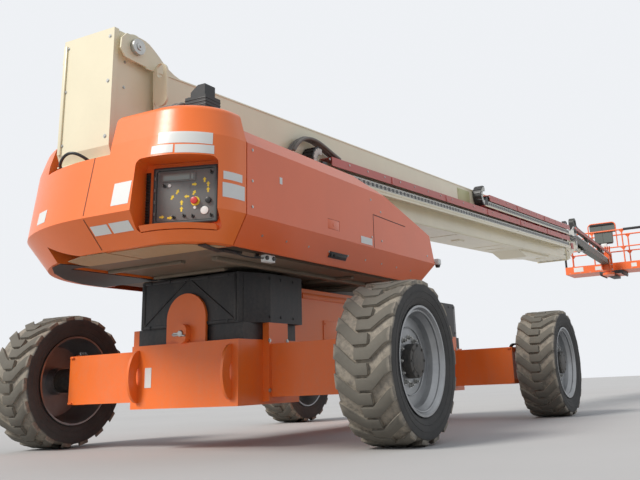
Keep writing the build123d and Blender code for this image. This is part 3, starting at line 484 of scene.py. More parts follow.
def hoses(name, runs, finish, body):
    # each run: radius and the points it passes near
    curve = bpy.data.curves.new(name, "CURVE")
    curve.dimensions = "3D"
    curve.resolution_u = 4
    curve.bevel_resolution = 3
    curve.bevel_depth = 1.0
    curve.use_fill_caps = True
    for radius, points in runs:
        line = curve.splines.new("NURBS")
        line.points.add(len(points) - 1)
        for knot, point in zip(line.points, points):
            knot.co = (*point, 1)
            knot.radius = radius
        line.order_u = min(4, len(points))
        line.use_endpoint_u = True
        line.resolution_u = curve.resolution_u
    drawn = bpy.data.objects.new(name + "Line", curve)
    bpy.context.scene.collection.objects.link(drawn)
    mesh = bpy.data.meshes.new_from_object(drawn.evaluated_get(bpy.context.evaluated_depsgraph_get()))
    bpy.data.objects.remove(drawn)
    bpy.data.curves.remove(curve)
    return place(name, mesh, finish, body, 60)


# Places along the boom and the jib: metres from the pivot pin, to the left, and up
def sideFrame(line):
    turn = radians(line["angle"])
    along = Vector((cos(turn), 0, sin(turn)))
    up = Vector((-sin(turn), 0, cos(turn)))
    return along, up, Matrix((along, Vector((0, 1, 0)), up)).transposed()


boomLine = {"pivot": (-3.2, 0.0, 2.92), "angle": 3.05, "width": 0.600, "height": 0.730, "drop": 0.485}
jibLine = {"pivot": (10.62, 0.0, 3.43), "angle": -2.5}
boomAlong, boomUp, boomFrame = sideFrame(boomLine)
jibAlong, jibUp, _ = sideFrame(jibLine)


def boomAt(along, side, rise):
    return Vector(boomLine["pivot"]) + boomAlong * along + Vector((0, side, 0)) + boomUp * rise


def jibAt(along, side, rise):
    return Vector(jibLine["pivot"]) + jibAlong * along + Vector((0, side, 0)) + jibUp * rise


def onSurface(node, start, way):
    # where a ray meets a node, and the surface's direction there
    owner = nodes[node]
    back = owner.matrix_world.inverted()
    hit, spot, normal, _ = owner.ray_cast(back @ Vector(start), (back.to_3x3() @ Vector(way)).normalized())
    if not hit:
        return None, None
    return owner.matrix_world @ spot, (owner.matrix_world.to_3x3() @ normal).normalized()


def pressed(name, node, start, way, size, finish, body, up=(0, 0, 1), lift=0.0015, steps=(8, 8), tilt=0.0):
    # thin sheet that follows a node's surface
    way = Vector(way).normalized()
    across = way.cross(Vector(up)).normalized()
    rise = across.cross(way).normalized()
    if tilt:
        across, rise = across * cos(tilt) + rise * sin(tilt), rise * cos(tilt) - across * sin(tilt)
    sheet = bmesh.new()
    bmesh.ops.create_grid(sheet, x_segments=steps[0], y_segments=steps[1], size=0.5)
    gone = []
    for vert in sheet.verts:
        begin = Vector(start) + across * vert.co.x * size[0] + rise * vert.co.y * size[1]
        spot, normal = onSurface(node, begin, way)
        if spot is None:
            gone.append(vert)
        else:
            vert.co = spot + normal * lift
    bmesh.ops.delete(sheet, geom=gone, context="VERTS")
    bmesh.ops.recalc_face_normals(sheet, faces=sheet.faces)
    mesh = bpy.data.meshes.new(name)
    sheet.to_mesh(mesh)
    sheet.free()
    return place(name, mesh, finish, body, 60)


wheel = {"x": 1.93, "y": 1.73, "z": 0.58}

# Tyre: lathe-turned carcass and bent, bevelled lugs on two rows
tread = {
    "wall": [(0.3880, 0.180), (0.402, 0.196), (0.432, 0.210), (0.475, 0.2190), (0.512, 0.2215), (0.534, 0.2180),
             (0.545, 0.203), (0.549, 0.150)],   # radius, out from the middle
    "crown": 0.5495,
    "lugs": 18,
    "outline": [(-0.050, -0.040), (-0.050, 0.038), (0.036, 0.038), (0.080, 0.072), (0.130, 0.118),
                (0.175, 0.156), (0.2120, 0.182), (0.2120, 0.078), (0.175, 0.058), (0.130, 0.018),
                (0.066, -0.040)],               # across and along the tread
    "foot": 0.538,
    "top": 0.578,
    "shoulder": (0.20, 0.008),                  # beyond this the lug's top drops
    "spread": 1.02,                             # of a lug's foot
    "wallRings": [(0.440, 0.2115, 0.003), (0.487, 0.2200, 0.0025)],
}


def makeTyre(centre, name):
    maker = Maker()
    wall = tread["wall"]
    profile = [(radius, -out) for radius, out in wall] + [(tread["crown"], 0.0)] + wall[::-1]
    maker.lathe(profile, centre, (0, 1, 0), around=90)
    for radius, out, thickness in tread["wallRings"]:
        for face in (-1, 1):
            maker.ring(centre + Vector((0, face * out, 0)), (0, 1, 0), radius, thickness, around=72, sides=6)
    edge, drop = tread["shoulder"]
    lugHeight = tread["top"] - tread["foot"]
    pitch = 2 * pi / tread["lugs"]
    for row in (-1, 1):
        before = set(maker.sheet.verts)
        maker.prism([(row * across, along, 0) for across, along in tread["outline"]], (0, 0, lugHeight), bevel=0.004)
        lug = [vert for vert in maker.sheet.verts if vert not in before]
        for vert in lug:
            across, along, height = vert.co
            low = height < lugHeight / 2
            radius = tread["foot"] + height - (drop if abs(across) > edge and not low else 0.0)
            turn = along / tread["top"]
            out = across * (tread["spread"] if low else 1.0)
            vert.co = centre + Vector((radius * sin(turn), out, radius * cos(turn)))
        bmesh.ops.rotate(maker.sheet, cent=centre, matrix=Matrix.Rotation(pitch * row / 4, 3, "Y"), verts=lug)
        geometry = lug + list({e for v in lug for e in v.link_edges} | {f for v in lug for f in v.link_faces})
        for step in range(1, tread["lugs"]):
            copied = bmesh.ops.duplicate(maker.sheet, geom=geometry)
            verts = [item for item in copied["geom"] if isinstance(item, bmesh.types.BMVert)]
            bmesh.ops.rotate(maker.sheet, cent=centre, matrix=Matrix.Rotation(pitch * step, 3, "Y"), verts=verts)
    piece = maker.done("tyreDetail_" + name, "tyreRubber", "wheel_" + name, 40)
    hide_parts("tyre_" + name)


# Wheel trim: rings, valve, wheel nuts, hub motor cover; distances out from the wheel's middle
rimTrim = {
    "rings": [(0.352, 0.172, 0.009), (0.343, 0.140, 0.008), (0.330, 0.110, 0.010), (0.236, 0.088, 0.006)],
    "valve": ((0.33, 0.10), (0.345, 0.14), 0.006),
    "nuts": 12, "nutCircle": 0.165, "face": 0.085,
    "nut": [(-0.002, 0.004, 0.021, 20, 0), (0, 0.022, 0.0145, 6, 0), (0, 0.034, 0.008, 12, 0.002)],
    "cover": [(0.062, 0.154, 0.122, 48, 0.004), (0.150, 0.158, 0.088, 40, 0.003)],
    "screws": 8, "screwCircle": 0.105, "screwFace": 0.154,
}


def makeRimTrim(centre, side, name):
    out = Vector((0, side, 0))
    body = "wheel_" + name

    def around(count, circle):
        for step in range(count):
            angle = 2 * pi / count * step
            yield centre + Vector((cos(angle), 0, sin(angle))) * circle

    rings = Maker()
    for radius, face, thickness in rimTrim["rings"]:
        rings.ring(centre + out * face, out, radius, thickness, around=72, sides=8)
    (low, inside), (high, outside), thick = rimTrim["valve"]
    rings.rod(centre + out * inside + Vector((low, 0, 0)), centre + out * outside + Vector((high, 0, 0)), thick, 10)
    rings.done("rimRings_" + name, "rimPaint", body)
    rods("wheelNuts_" + name, "zincSteel", body, [
        (spot + out * (rimTrim["face"] + start), spot + out * (rimTrim["face"] + end), *rest)
        for spot in around(rimTrim["nuts"], rimTrim["nutCircle"]) for start, end, *rest in rimTrim["nut"]])
    cover = Maker()
    for start, end, radius, sides, bevel in rimTrim["cover"]:
        cover.rod(centre + out * start, centre + out * end, radius, sides, bevel=bevel)
    for spot in around(rimTrim["screws"], rimTrim["screwCircle"]):
        cover.bolt(spot + out * rimTrim["screwFace"], out, 0.008, 0.007)
    cover.done("hubCover_" + name, "blackSteel", body)


for end, side, name in corners:
    centre = Vector((end * wheel["x"], side * wheel["y"], wheel["z"]))
    makeTyre(centre, name)
    makeRimTrim(centre, side, name)
print("wheels")

# Chassis: sleeve bolts, side covers, hitch pins, blank plates
frameTrim = {
    "flange": (0.600, 0.122, (0.42, 0.80)),     # face, half a sleeve's width, heights of the bolts
    "boxes": (0.500, (1.62, 2.20), (0.40, 0.76)),
    "covers": (-0.75, 0.0, 0.75),
    "coverSize": (0.42, 0.008, 0.30), "coverHeight": 0.86, "coverScrews": (0.18, 0.12),
    "strips": [(2.5, 0.50), (2.6, 1.21)],       # length, height
    "hitch": (2.294, 0.88),
    "plates": [((-2.2592, 0.358, 0.557), (0.002, 0.068, 0.155), 0), ((0.0, -0.5085, 0.86), (0.16, 0.002, 0.10), 0),
               ((0.0, 0.5085, 0.86), (0.16, 0.002, 0.10), 0)],
}
beamStagger = 0.12          # the left and right beams lie side by side


def makeChassisTrim():
    face, half, heights = frameTrim["flange"]
    spots = [((end * (wheel["x"] + side * beamStagger) + across * half, side * face, height), (0, side, 0))
             for end, side, _ in corners for height in heights for across in (-1, 1)]
    face, places, heights = frameTrim["boxes"]
    spots += [((end * across, side * face, height), (0, side, 0))
              for end, side, _ in corners for across in places for height in heights]
    bolts("chassisBolts", "chassis", spots, 0.011, 0.009)
    plates = Maker()
    ahead, up = frameTrim["coverScrews"]
    for side in (-1, 1):
        for middle in frameTrim["covers"]:
            plates.box((middle, side * 0.503, frameTrim["coverHeight"]), frameTrim["coverSize"], bevel=0.002)
            for across in (-ahead, ahead):
                for height in (-up, up):
                    plates.bolt((middle + across, side * 0.507, frameTrim["coverHeight"] + height), (0, side, 0),
                                0.009, 0.007)
        for length, height in frameTrim["strips"]:
            plates.box((0, side * 0.504, height), (length, 0.010, 0.05), bevel=0.003)
    plates.done("chassisPlates", "orangePaint", "chassis")
    latch = Maker()
    for end in (-1, 1):
        middle = Vector((end * frameTrim["hitch"][0], 0, frameTrim["hitch"][1]))
        latch.rod(middle - Vector((end * 0.05, 0, 0)), middle + Vector((end * 0.012, 0, 0)), 0.024, 20, bevel=0.003)
        latch.box(middle + Vector((end * -0.004, 0.045, -0.004)), (0.022, 0.060, 0.030), bevel=0.004)
        latch.rod(middle + Vector((end * 0.004, -0.05, -0.018)), middle + Vector((end * 0.004, 0.08, -0.004)),
                  0.008, 12)
    latch.done("hitchPin", "zincSteel", "chassis")
    boxes("chassisPlaques", "plateWhite", "chassis", frameTrim["plates"])


# Hose shrouds: edge strips, two slanted folds that meet on the end face, screws
shroudTrim = {
    "face": 2.208,
    "levels": (0.955, 1.315), "sides": (-0.47, 0.47), "across": (-0.40, -0.2, 0.0, 0.2, 0.40),
    "fold": ((0.46, 0.97), (0.03, 1.30), 0.006),
    "cheek": (0.600, (1.92, 1.77, 1.59), (0.985, 1.29)),
}


def makeShroudTrim():
    seams = Maker()
    for end in (-1, 1):
        rear = end * shroudTrim["face"]
        for height in shroudTrim["levels"]:
            seams.box((rear, 0, height), (0.012, 0.94, 0.022), bevel=0.003)
            for across in shroudTrim["across"]:
                seams.bolt((rear + end * 0.006, across, height), (end, 0, 0), 0.009, 0.006)
        for across in shroudTrim["sides"]:
            seams.box((rear, across, 1.135), (0.012, 0.022, 0.36), bevel=0.003)
        for side in (-1, 1):
            low, high, radius = shroudTrim["fold"]
            seams.rod(*[(rear + end * 0.002, side * across, height) for across, height in (low, high)], radius, 8)
            out, places, heights = shroudTrim["cheek"]
            for across in places:
                for height in heights:
                    seams.bolt((end * across, side * out, height), (0, side, 0), 0.009, 0.006)
    seams.done("shroudSeams", "shroudBlack", "chassis", 30)


# Axles: kingpin caps, ribs round the yoke, three hoses to the hub motor
axleTrim = {
    "kingpin": 1.48, "caps": (0.765, 0.375),
    "rib": (1.338, 0.5725, 0.19, (0.235, 0.04, 0.012)),
    "hoses": 3, "hoseGap": 0.028,
}


def makeAxleTrim(end, side, name):
    beamX = end * (wheel["x"] + side * beamStagger)
    pinX = end * wheel["x"]
    trim = Maker()
    for level in axleTrim["caps"]:
        trim.rod((pinX, side * axleTrim["kingpin"], level - 0.012), (pinX, side * axleTrim["kingpin"], level + 0.030),
                 0.048, 28, bevel=0.004)
    out, middle, half, size = axleTrim["rib"]
    for across in (-1, 1):
        trim.box((beamX, side * out, middle + across * half), size, bevel=0.002)
    trim.done("yokeTrim_" + name, "orangePaint", "axle_" + name)
    runs = []
    for lane in range(axleTrim["hoses"]):
        x = beamX - end * 0.02 + axleTrim["hoseGap"] * (lane - 1)
        runs.append((0.011, [(x, side * 1.335, 0.775), (x, side * 1.345, 0.800), (x, side * 1.370, 0.812),
                             (x + (pinX - x) * 0.6, side * 1.400, 0.805),
                             (pinX + 0.03 * (lane - 1), side * 1.435, 0.780)]))
    hoses("axleHoses_" + name, runs, "hoseRubber", "axle_" + name)


makeChassisTrim()
makeShroudTrim()
for end, side, name in corners:
    makeAxleTrim(end, side, name)
print("chassis")

# Ground controls: places are across, up and out from the middle of the panel
panelLook = {
    "spot": (-3.300, -0.905, 1.683),
    "yaw": 20.0,
    "plate": [((0, 0, 0.0025), (0.395, 0.340, 0.004), 0.001), ((-0.052, 0.125, 0.007), (0.240, 0.062, 0.008), 0.003),
              ((0.030, -0.030, 0.0050), (0.002, 0.25, 0.001), 0), ((0.110, 0.045, 0.0050), (0.17, 0.002, 0.001), 0)],
    "screws": (0.185, 0.155),
    "clips": (0.12, 0.04, -0.04, -0.12),
    "windows": [((-0.065, 0.125, 0.0125), (0.185, 0.042, 0.003), 0.001),
                ((0.045, 0.125, 0.0125), (0.016, 0.042, 0.003), 0.001)],
    "arrow": [(-0.016, -0.006), (0.002, -0.006), (0.002, -0.013), (0.019, 0.0), (0.002, 0.013), (0.002, 0.006),
              (-0.016, 0.006)],
    "arrows": [             # across, up, turn
        (0.058, 0.068, 0), (0.128, 0.094, 90), (0.153, 0.063, 90), (0.153, 0.024, 90), (-0.057, 0.024, 60),
        (-0.092, -0.011, 60), (0.008, -0.011, 180), (0.058, 0.011, 60), (-0.027, -0.051, 90), (-0.027, -0.095, 90),
        (-0.162, -0.139, 0), (-0.107, -0.148, 0),
    ],
    "switches": [(-0.147, 0.068), (0.053, -0.148), (0.178, -0.150), (-0.077, -0.148), (-0.007, -0.142),
                 (0.178, 0.140)],
    "lever": [(0, 0.004, 0, 0.010, 0.0115, 20, 0.001), (0, 0.009, 0.010, 0.034, 0.0045, 12, 0.001)],
    # round parts: across, up, start, end, radius, sides, bevel
    "knob": [(0.158, -0.047, 0.004, 0.024, 0.020, 28, 0.003)],
    "collar": [(0.068, -0.047, 0.004, 0.010, 0.031, 36, 0.001)],
    "stop": [(0.068, -0.047, 0.008, 0.026, 0.013, 28, 0), (0.068, -0.047, 0.024, 0.040, 0.024, 36, 0.005)],
    "keys": [(0.131, -0.112, 0.004, 0.010, 0.027, 32, 0.002), (0.065, -0.090, 0.004, 0.009, 0.010, 20, 0.001),
             (-0.112, 0.070, 0.004, 0.009, 0.011, 20, 0.001)],
    "vent": (-0.270, -0.005, -0.018), "slats": 17, "slatGap": 0.02, "slatTurn": 35,
    "seal": [((0, 0.1875, 0.0155), (0.43, 0.010, 0.006), 0.002), ((0, -0.1875, 0.0155), (0.43, 0.010, 0.006), 0.002),
             ((-0.2155, 0, 0.0155), (0.010, 0.38, 0.006), 0.002), ((0.2155, 0, 0.0155), (0.010, 0.38, 0.006), 0.002)],
}
panelTurn = radians(panelLook["yaw"])
panelAcross = Vector((sin(panelTurn), -cos(panelTurn), 0))
panelOut = Vector((-cos(panelTurn), -sin(panelTurn), 0))
panelFrame = Matrix((panelAcross, Vector((0, 0, 1)), panelOut)).transposed()

# Strip of the cowl's skin that closes the low edge of the recess
sillLook = {"from": -0.262, "to": 0.216, "steps": 12, "low": -0.247, "tall": 0.034, "inside": -0.014, "sunk": 0.002,
            "probes": (-0.258, -0.288)}


def panelAt(across, up, out=0.0):
    return Vector(panelLook["spot"]) + panelAcross * across + Vector((0, 0, up)) + panelOut * out


def panelBoxes(name, finish, rows, angle=30):
    boxes(name, finish, "turntable", [(panelAt(*spot), *rest) for spot, *rest in rows], panelFrame, angle)


def panelRods(name, finish, rows):
    rods(name, finish, "turntable", [(panelAt(across, up, start), panelAt(across, up, end), *rest)
                                     for across, up, start, end, *rest in rows])


def makeSill():
    low, tall = sillLook["low"], sillLook["tall"]
    first, second = sillLook["probes"]
    reach, lean = [], []
    for step in range(sillLook["steps"] + 1):
        across = sillLook["from"] + (sillLook["to"] - sillLook["from"]) * step / sillLook["steps"]
        outs = []
        for up in (first, second):
            spot, _ = onSurface("control_cowl", panelAt(across, up, 1.2), -panelOut)
            outs.append((spot - panelAt(across, up)).dot(panelOut))
        slope = (outs[0] - outs[1]) / (first - second)
        lean.append((across, slope))
        reach.append((across, outs[0] + slope * (low - first) - sillLook["sunk"]))
    outline = [panelAt(across, low, out) for across, out in reach]
    sill = Maker()
    sill.prism([panelAt(sillLook["from"], low, sillLook["inside"]), *outline,
                panelAt(sillLook["to"], low, sillLook["inside"])], (0, 0, tall))
    for vert in sill.sheet.verts:
        offset = vert.co - panelAt(0, low)
        if offset.z > tall / 2 and offset.dot(panelOut) > 0:
            nearest = min(lean, key=lambda item: abs(item[0] - offset.dot(panelAcross)))
            vert.co += panelOut * nearest[1] * tall
    sill.done("recessSill", "cowlPaint", "turntable")


def makeControls():
    makeSill()
    plate = Maker()
    clips = [((-0.207, up, 0.019), (0.010, 0.022, 0.012), 0.002) for up in panelLook["clips"]]
    for spot, size, bevel in panelLook["plate"] + clips:
        plate.box(panelAt(*spot), size, panelFrame, bevel)
    across, up = panelLook["screws"]
    for x, y in ((-across, -up), (-across, up), (across, -up), (across, up)):
        plate.bolt(panelAt(x, y, 0.0045), panelOut, 0.005, 0.004)
    plate.done("controlPlate", "panelFace", "turntable", 30)
    panelBoxes("controlWindow", "windowGlass", panelLook["windows"])
    arrows = Maker()
    for across, up, angle in panelLook["arrows"]:
        aim = radians(angle)
        points = [panelAt(across + x * cos(aim) - y * sin(aim), up + x * sin(aim) + y * cos(aim), 0.0048)
                  for x, y in panelLook["arrow"]]
        arrows.prism(points, panelOut * 0.0008)
    arrows.done("controlArrows", "markYellow", "turntable")
    knobs = Maker()
    for across, up in panelLook["switches"]:
        for below, start, above, end, radius, sides, bevel in panelLook["lever"]:
            knobs.rod(panelAt(across, up + below, start), panelAt(across, up + above, end), radius, sides,
                      bevel=bevel)
    for across, up, start, end, radius, sides, bevel in panelLook["knob"]:
        knobs.rod(panelAt(across, up, start), panelAt(across, up, end), radius, sides, bevel=bevel)
    knobs.done("controlSwitches", "knobBlack", "turntable")
    panelRods("stopCollar", "markYellow", panelLook["collar"])
    panelRods("stopKnob", "markRed", panelLook["stop"])
    panelRods("controlKeys", "plateWhite", panelLook["keys"])
    vent = Maker()
    spot = panelAt(*panelLook["vent"])
    slats = panelLook["slats"]
    vent.box(spot, (0.030, 0.36, 0.006), panelFrame, bevel=0.001)
    for step in range(slats):
        lift = panelLook["slatGap"] * (step - (slats - 1) / 2)
        vent.box(spot + Vector((0, 0, lift)) + panelOut * 0.006, (0.026, 0.011, 0.012),
                 panelFrame @ Matrix.Rotation(radians(panelLook["slatTurn"]), 3, "X"), bevel=0.001)
    vent.done("controlVent", "knobBlack", "turntable")
    panelBoxes("controlSeal", "hoseRubber", panelLook["seal"], 35)


# Blank plates on the painted covers: node, a point outside, the way in, width, height, tilt
plaques = [
    ("control_cowl", (-3.85, -1.25, 2.027), (0.86, 0.51, 0), 0.350, 0.080, -0.02),
    ("control_cowl", (-4.00, -0.98, 1.951), (0.98, 0.20, 0), 0.153, 0.057, 0.0),
    ("control_cowl", (-3.77, -1.40, 1.948), (0.73, 0.68, 0), 0.250, 0.058, 0.0),
    ("control_cowl", (-3.22, -1.69, 1.788), (0.10, 1.0, 0), 0.172, 0.055, 0.0),
    ("control_cowl", (-3.21, -1.69, 1.690), (0.10, 1.0, 0), 0.205, 0.098, 0.0),
    ("control_cowl", (-4.00, -0.606, 1.686), (1, 0, 0), 0.150, 0.155, 0.0),
    ("control_cowl", (-4.00, -0.565, 1.480), (1, 0, 0), 0.175, 0.058, 0.0),
    ("control_cowl", (-4.00, -0.385, 1.480), (1, 0, 0), 0.150, 0.055, 0.0),
    ("tail_counterweight", (-3.97, 0.40, 1.652), (0.94, -0.32, 0), 0.150, 0.090, 0.0),
    ("right_hood", (-1.36, -1.6, 1.605), (0, 1, 0), 0.200, 0.060, 0.0),
    ("right_hood", (-2.63, -1.6, 1.870), (0, 1, 0), 0.034, 0.050, 0.0),
    ("left_hood", (-1.85, 1.6, 1.92), (0, -1, 0), 0.220, 0.070, 0.0),
    ("left_hood", (-0.40, 1.6, 1.72), (0, -1, 0), 0.100, 0.060, 0.0),
]


def makePlaques():
    for number, (node, start, way, width, height, tilt) in enumerate(plaques):
        body = node if node in ("right_hood", "left_hood") else "turntable"
        pressed("plaque_%02d" % number, node, start, way, (width, height), "plateWhite", body, tilt=tilt)


def seam(name, node, start, way, length, up, body, width=0.007):
    # narrow dark line along a door's edge
    pressed(name, node, start, way, (width, length), "seamBlack", body, up, lift=0.0012, steps=(1, 24))


# Hoods: door seams, flush cover on the side, latch under the skirt, screws, louvres, front lamp
hoodTrim = {
    "probe": 1.6,           # seams and screws are found from this far out
    "doorUpright": (-1.225, 1.705, 0.285),      # x, z, length
    "doorTop": (-0.91, 1.848, 0.64, (1, 0, -0.019)),
    "cover": (-1.90, 1.1955, 1.66),
    "latch": (-1.74, 1.133, 1.437),
    "skirt": (0.88, -0.48),
    "rearScrews": (2.02, 1.80, 1.62),
    "screws": [(-1.26, 1.98), (-1.26, 1.65), (-1.08, 1.90), (-1.08, 1.64), (-0.12, 1.62)],
    "skirtScrews": 9, "skirtHeight": 1.455,
    "louvres": 12, "firstLouvre": (-1.75, 1.2005, 1.80), "louvreGap": 0.045,
    "lamp": [((0.135, -1.195, 1.590), (0.070, 0.060, 0.060), 0.010),
             ((0.085, -1.175, 1.600), (0.060, 0.020, 0.016), 0.003)],
    "lens": ((0.140, -1.195, 1.560), (0.140, -1.195, 1.535), 0.028, 24, 0.020, 0.003),
}


def makeHoodTrim(side, node, rear):
    way = (0, -side, 0)
    out = side * hoodTrim["probe"]
    x, z, length = hoodTrim["doorUpright"]
    seam("doorSeamA_" + node, node, (x, out, z), way, length, (0, 0, 1), node)
    x, z, length, up = hoodTrim["doorTop"]
    seam("doorSeamB_" + node, node, (x, out, z), way, length, up, node)
    flush = Maker()
    x, y, z = hoodTrim["cover"]
    flush.box((x, side * y, z), (0.176, 0.008, 0.076), bevel=0.002)
    flush.rod((x, side * 1.199, z), (x, side * 1.2015, z), 0.014, 24, bevel=0.001)
    flush.done("latchCover_" + node, "hoodPaintShadedSkyTint", node)
    trim = Maker()
    forward = Vector((1, 0, 0))
    slope = Vector((0, side * hoodTrim["skirt"][0], hoodTrim["skirt"][1])).normalized()
    skirt = Matrix((forward, slope.cross(forward), slope)).transposed()
    x, y, z = hoodTrim["latch"]
    middle = Vector((x, side * y, z)) + slope * 0.004
    keyhole = middle - forward * 0.11
    trim.box(middle, (0.270, 0.052, 0.010), skirt, bevel=0.003)
    trim.box(middle + slope * 0.010 + forward * 0.02, (0.190, 0.024, 0.016), skirt, bevel=0.006)
    trim.rod(keyhole, keyhole + slope * 0.014, 0.014, 20, bevel=0.002)
    trim.done("latch_" + node, "blackSteel", node)
    screws = Maker()
    count = hoodTrim["skirtScrews"]
    rows = [(rear + 0.06, z, 0.007, 0.005) for z in hoodTrim["rearScrews"]]
    rows += [(x, z, 0.007, 0.005) for x, z in hoodTrim["screws"]]
    rows += [(rear + 0.25 + step * (-0.35 - rear) / count, hoodTrim["skirtHeight"], 0.006, 0.004)
             for step in range(count)]
    for x, z, radius, height in rows:
        spot, normal = onSurface(node, (x, out, z), way)
        if spot is not None:
            screws.bolt(spot, normal, radius, height)
    screws.done("hoodBolts_" + node, "zincSteel", node)


def makeHoodExtras():
    x, y, z = hoodTrim["firstLouvre"]
    boxes("hoodGrille", "knobBlack", "left_hood",
          [((x + hoodTrim["louvreGap"] * step, y, z), (0.022, 0.006, 0.20), 0.002)
           for step in range(hoodTrim["louvres"])])
    boxes("frontLamp", "plateWhite", "right_hood", hoodTrim["lamp"])
    lens = Maker()
    lens.rod(*hoodTrim["lens"])
    lens.done("frontLampLens", "knobBlack", "right_hood")


# Reversing alarm under the cowl, with its bracket and cable; places from the middle of the case
alarm = {
    "spot": (-2.56, -1.035, 1.330),
    "case": ((0.115, 0.050, 0.052), 0.007),
    "plugs": (-0.05, 0.03),
    "bracket": [((0, 0.052, 0.0245), (0.040, 0.090, 0.005), 0.001), ((0, 0.100, 0.036), (0.040, 0.012, 0.028), 0.002)],
    "cable": [(-0.055, 0, 0), (-0.10, 0.0, -0.006), (-0.20, 0.03, -0.010), (-0.27, 0.08, 0.012),
              (-0.28, 0.10, 0.040)],
}


def makeAlarm():
    spot = Vector(alarm["spot"])
    boxes("alarmCase", "plateWhite", "turntable", [(spot, *alarm["case"])])
    plugs = Maker()
    for across in alarm["plugs"]:
        plugs.rod(spot + Vector((across, -0.020, 0)), spot + Vector((across, -0.036, 0)), 0.015, 20, bevel=0.002)
    for offset, size, bevel in alarm["bracket"]:
        plugs.box(spot + Vector(offset), size, bevel=bevel)
    plugs.done("alarmBracket", "blackSteel", "turntable")
    hoses("alarmCable", [(0.005, [spot + Vector(point) for point in alarm["cable"]])], "hoseRubber", "turntable")


# Tail: seam, a tan sheet under the overhang as painted ground reflection, a black sheet under the left of the tail as
# painted shade, deck ribs with the bearing's bolts
tailTrim = {
    "plateTop": 1.3585, "plateThick": 0.004,
    # tan sheets: painted reflection of the ground on the undersides
    "pan": [                # outlines seen from below
        [(-3.385, -0.290), (-3.385, -0.060), (-3.30, 0.16), (-3.12, 0.22), (-3.05, 0.22), (-3.05, -0.290)],
        [(-3.37, -0.31), (-3.05, -0.31), (-3.05, -1.04), (-3.12, -1.02), (-3.30, -0.90), (-3.37, -0.76)],
    ],
    # black sheet: painted shade under the left of the tail
    "shade": [[(-3.04, 0.230), (-3.26, 0.280), (-3.18, 0.46), (-2.97, 0.68), (-2.69, 0.88), (-2.41, 1.00),
               (-2.12, 1.04), (-2.12, 0.42), (-3.04, 0.42)]],
    "strips": [((-3.08, -0.945, 1.3525), (0.30, 0.055, 0.012), 0.25),      # last: turn
               ((-2.86, -0.910, 1.3660), (0.26, 0.050, 0.018), 0.0)],
    "crossRibs": [(-2.7, 0.74), (-2.2, 0.74), (-1.0, 1.70), (-0.45, 1.70)],
    "longRibs": [(-0.66, 2.6), (0.66, 1.2)],
    "bearingBolts": 18, "boltCircle": 0.515,
}


def makeTailTrim():
    seam("tailSeam", "tail_counterweight", (-3.9, -0.294, 1.68), (1, 0, 0), 0.62, (0, 0, 1), "turntable", 0.006)
    for name, finish, outlines in (("tailPanReflection", "panGroundReflection", tailTrim["pan"]),
                                   ("tailShadeSheet", "blackSteel", tailTrim["shade"])):
        under = Maker()
        for outline in outlines:
            under.prism([(x, y, tailTrim["plateTop"]) for x, y in outline], (0, 0, -tailTrim["plateThick"]))
        under.done(name, finish, "turntable")
    strip = Maker()
    for spot, size, turn in tailTrim["strips"]:
        strip.box(spot, size, Matrix.Rotation(turn, 3, "Z"), bevel=0.003)
    strip.done("undersideStrip", "blackSteel", "turntable")
    ribs = Maker()
    for x, wide in tailTrim["crossRibs"]:
        ribs.box((x, 0, 1.362), (0.05, wide, 0.024), bevel=0.004)
    for y, length in tailTrim["longRibs"]:
        ribs.box((-1.4, y, 1.360), (length, 0.06, 0.028), bevel=0.004)
    for step in range(tailTrim["bearingBolts"]):
        angle = 2 * pi / tailTrim["bearingBolts"] * step
        ribs.bolt((tailTrim["boltCircle"] * cos(angle), tailTrim["boltCircle"] * sin(angle), 1.374), (0, 0, -1),
                  0.014, 0.012)
    ribs.done("deckRibs", "undersidePaintAndShade", "turntable")


# Upright: screws of its rear cover, lip and hose slot below it, pin ends, welds
uprightTrim = {
    "coverRows": ((-0.215, 0.215), (2.20, 2.62, 2.97)),
    "sideScrews": (-3.25, 0.2455, (2.60, 2.80)),
    "lip": [((-3.360, 0, 2.040), (0.030, 0.50, 0.012), 0.003), ((-3.352, 0, 2.015), (0.012, 0.47, 0.045), 0.002),
            ((-3.382, 0.232, 2.56), (0.014, 0.030, 0.86), 0.004)],
    "slot": [((-3.357, 0, 2.031), (0.036, 0.46, 0.006), 0.001)],
    "hoses": [
        (0.011, [(-3.345, 0.20, 2.02), (-3.44, 0.17, 2.00), (-3.50, 0.05, 2.10), (-3.47, -0.08, 2.08),
                 (-3.36, -0.12, 2.00), (-3.34, -0.12, 1.99)]),
        (0.009, [(-3.345, 0.10, 2.02), (-3.42, 0.08, 1.99), (-3.45, -0.05, 2.05), (-3.36, -0.16, 2.00)]),
    ],
    "pinFace": 0.330,
    "pin": [(-0.030, 0.008, 0.062, 40, 0.004), (0.004, 0.016, 0.030, 28, 0.003), (0.012, 0.026, 0.010, 6, 0)],
    "welds": [((-3.30, 1.56), (-2.99, 1.42), 0.007), ((-2.98, 1.417), (-2.31, 1.417), 0.008)],
}


def makeCoverTrim():
    across, heights = uprightTrim["coverRows"]
    screws = Maker()
    for y in across:
        for height in heights:
            screws.bolt((-3.375, y, height), (-1, 0, 0), 0.010, 0.007)
    x, y, heights = uprightTrim["sideScrews"]
    for height in heights:
        for side in (-1, 1):
            screws.bolt((x, side * y, height), (0, side, 0), 0.008, 0.006)
    screws.done("coverBolts", "zincSteel", "turntable")
    boxes("coverLip", "creamPaint", "turntable", uprightTrim["lip"])
    hoses("coverHoses", uprightTrim["hoses"], "hoseRubber", "turntable")
    boxes("coverSlot", "knobBlack", "turntable", uprightTrim["slot"])


# Lamp on the cowl: ribs round its base, sleeved hoses and a bracket beside it
lampTrim = {
    "ribs": 4, "firstRib": (-3.15, -0.905, 2.305), "ribSize": (0.166, 0.186, 0.006), "ribGap": 0.024,
    "screws": ((-3.215, -3.085), (-0.975, -0.835), 2.400),
    "hoses": 5, "hoseStart": -0.52, "hoseGap": 0.05,
    "bracket": [((-3.26, -0.68, 2.292), (0.14, 0.26, 0.024), 0.004),
                ((-3.28, -0.77, 2.315), (0.05, 0.05, 0.040), 0.006)],
}


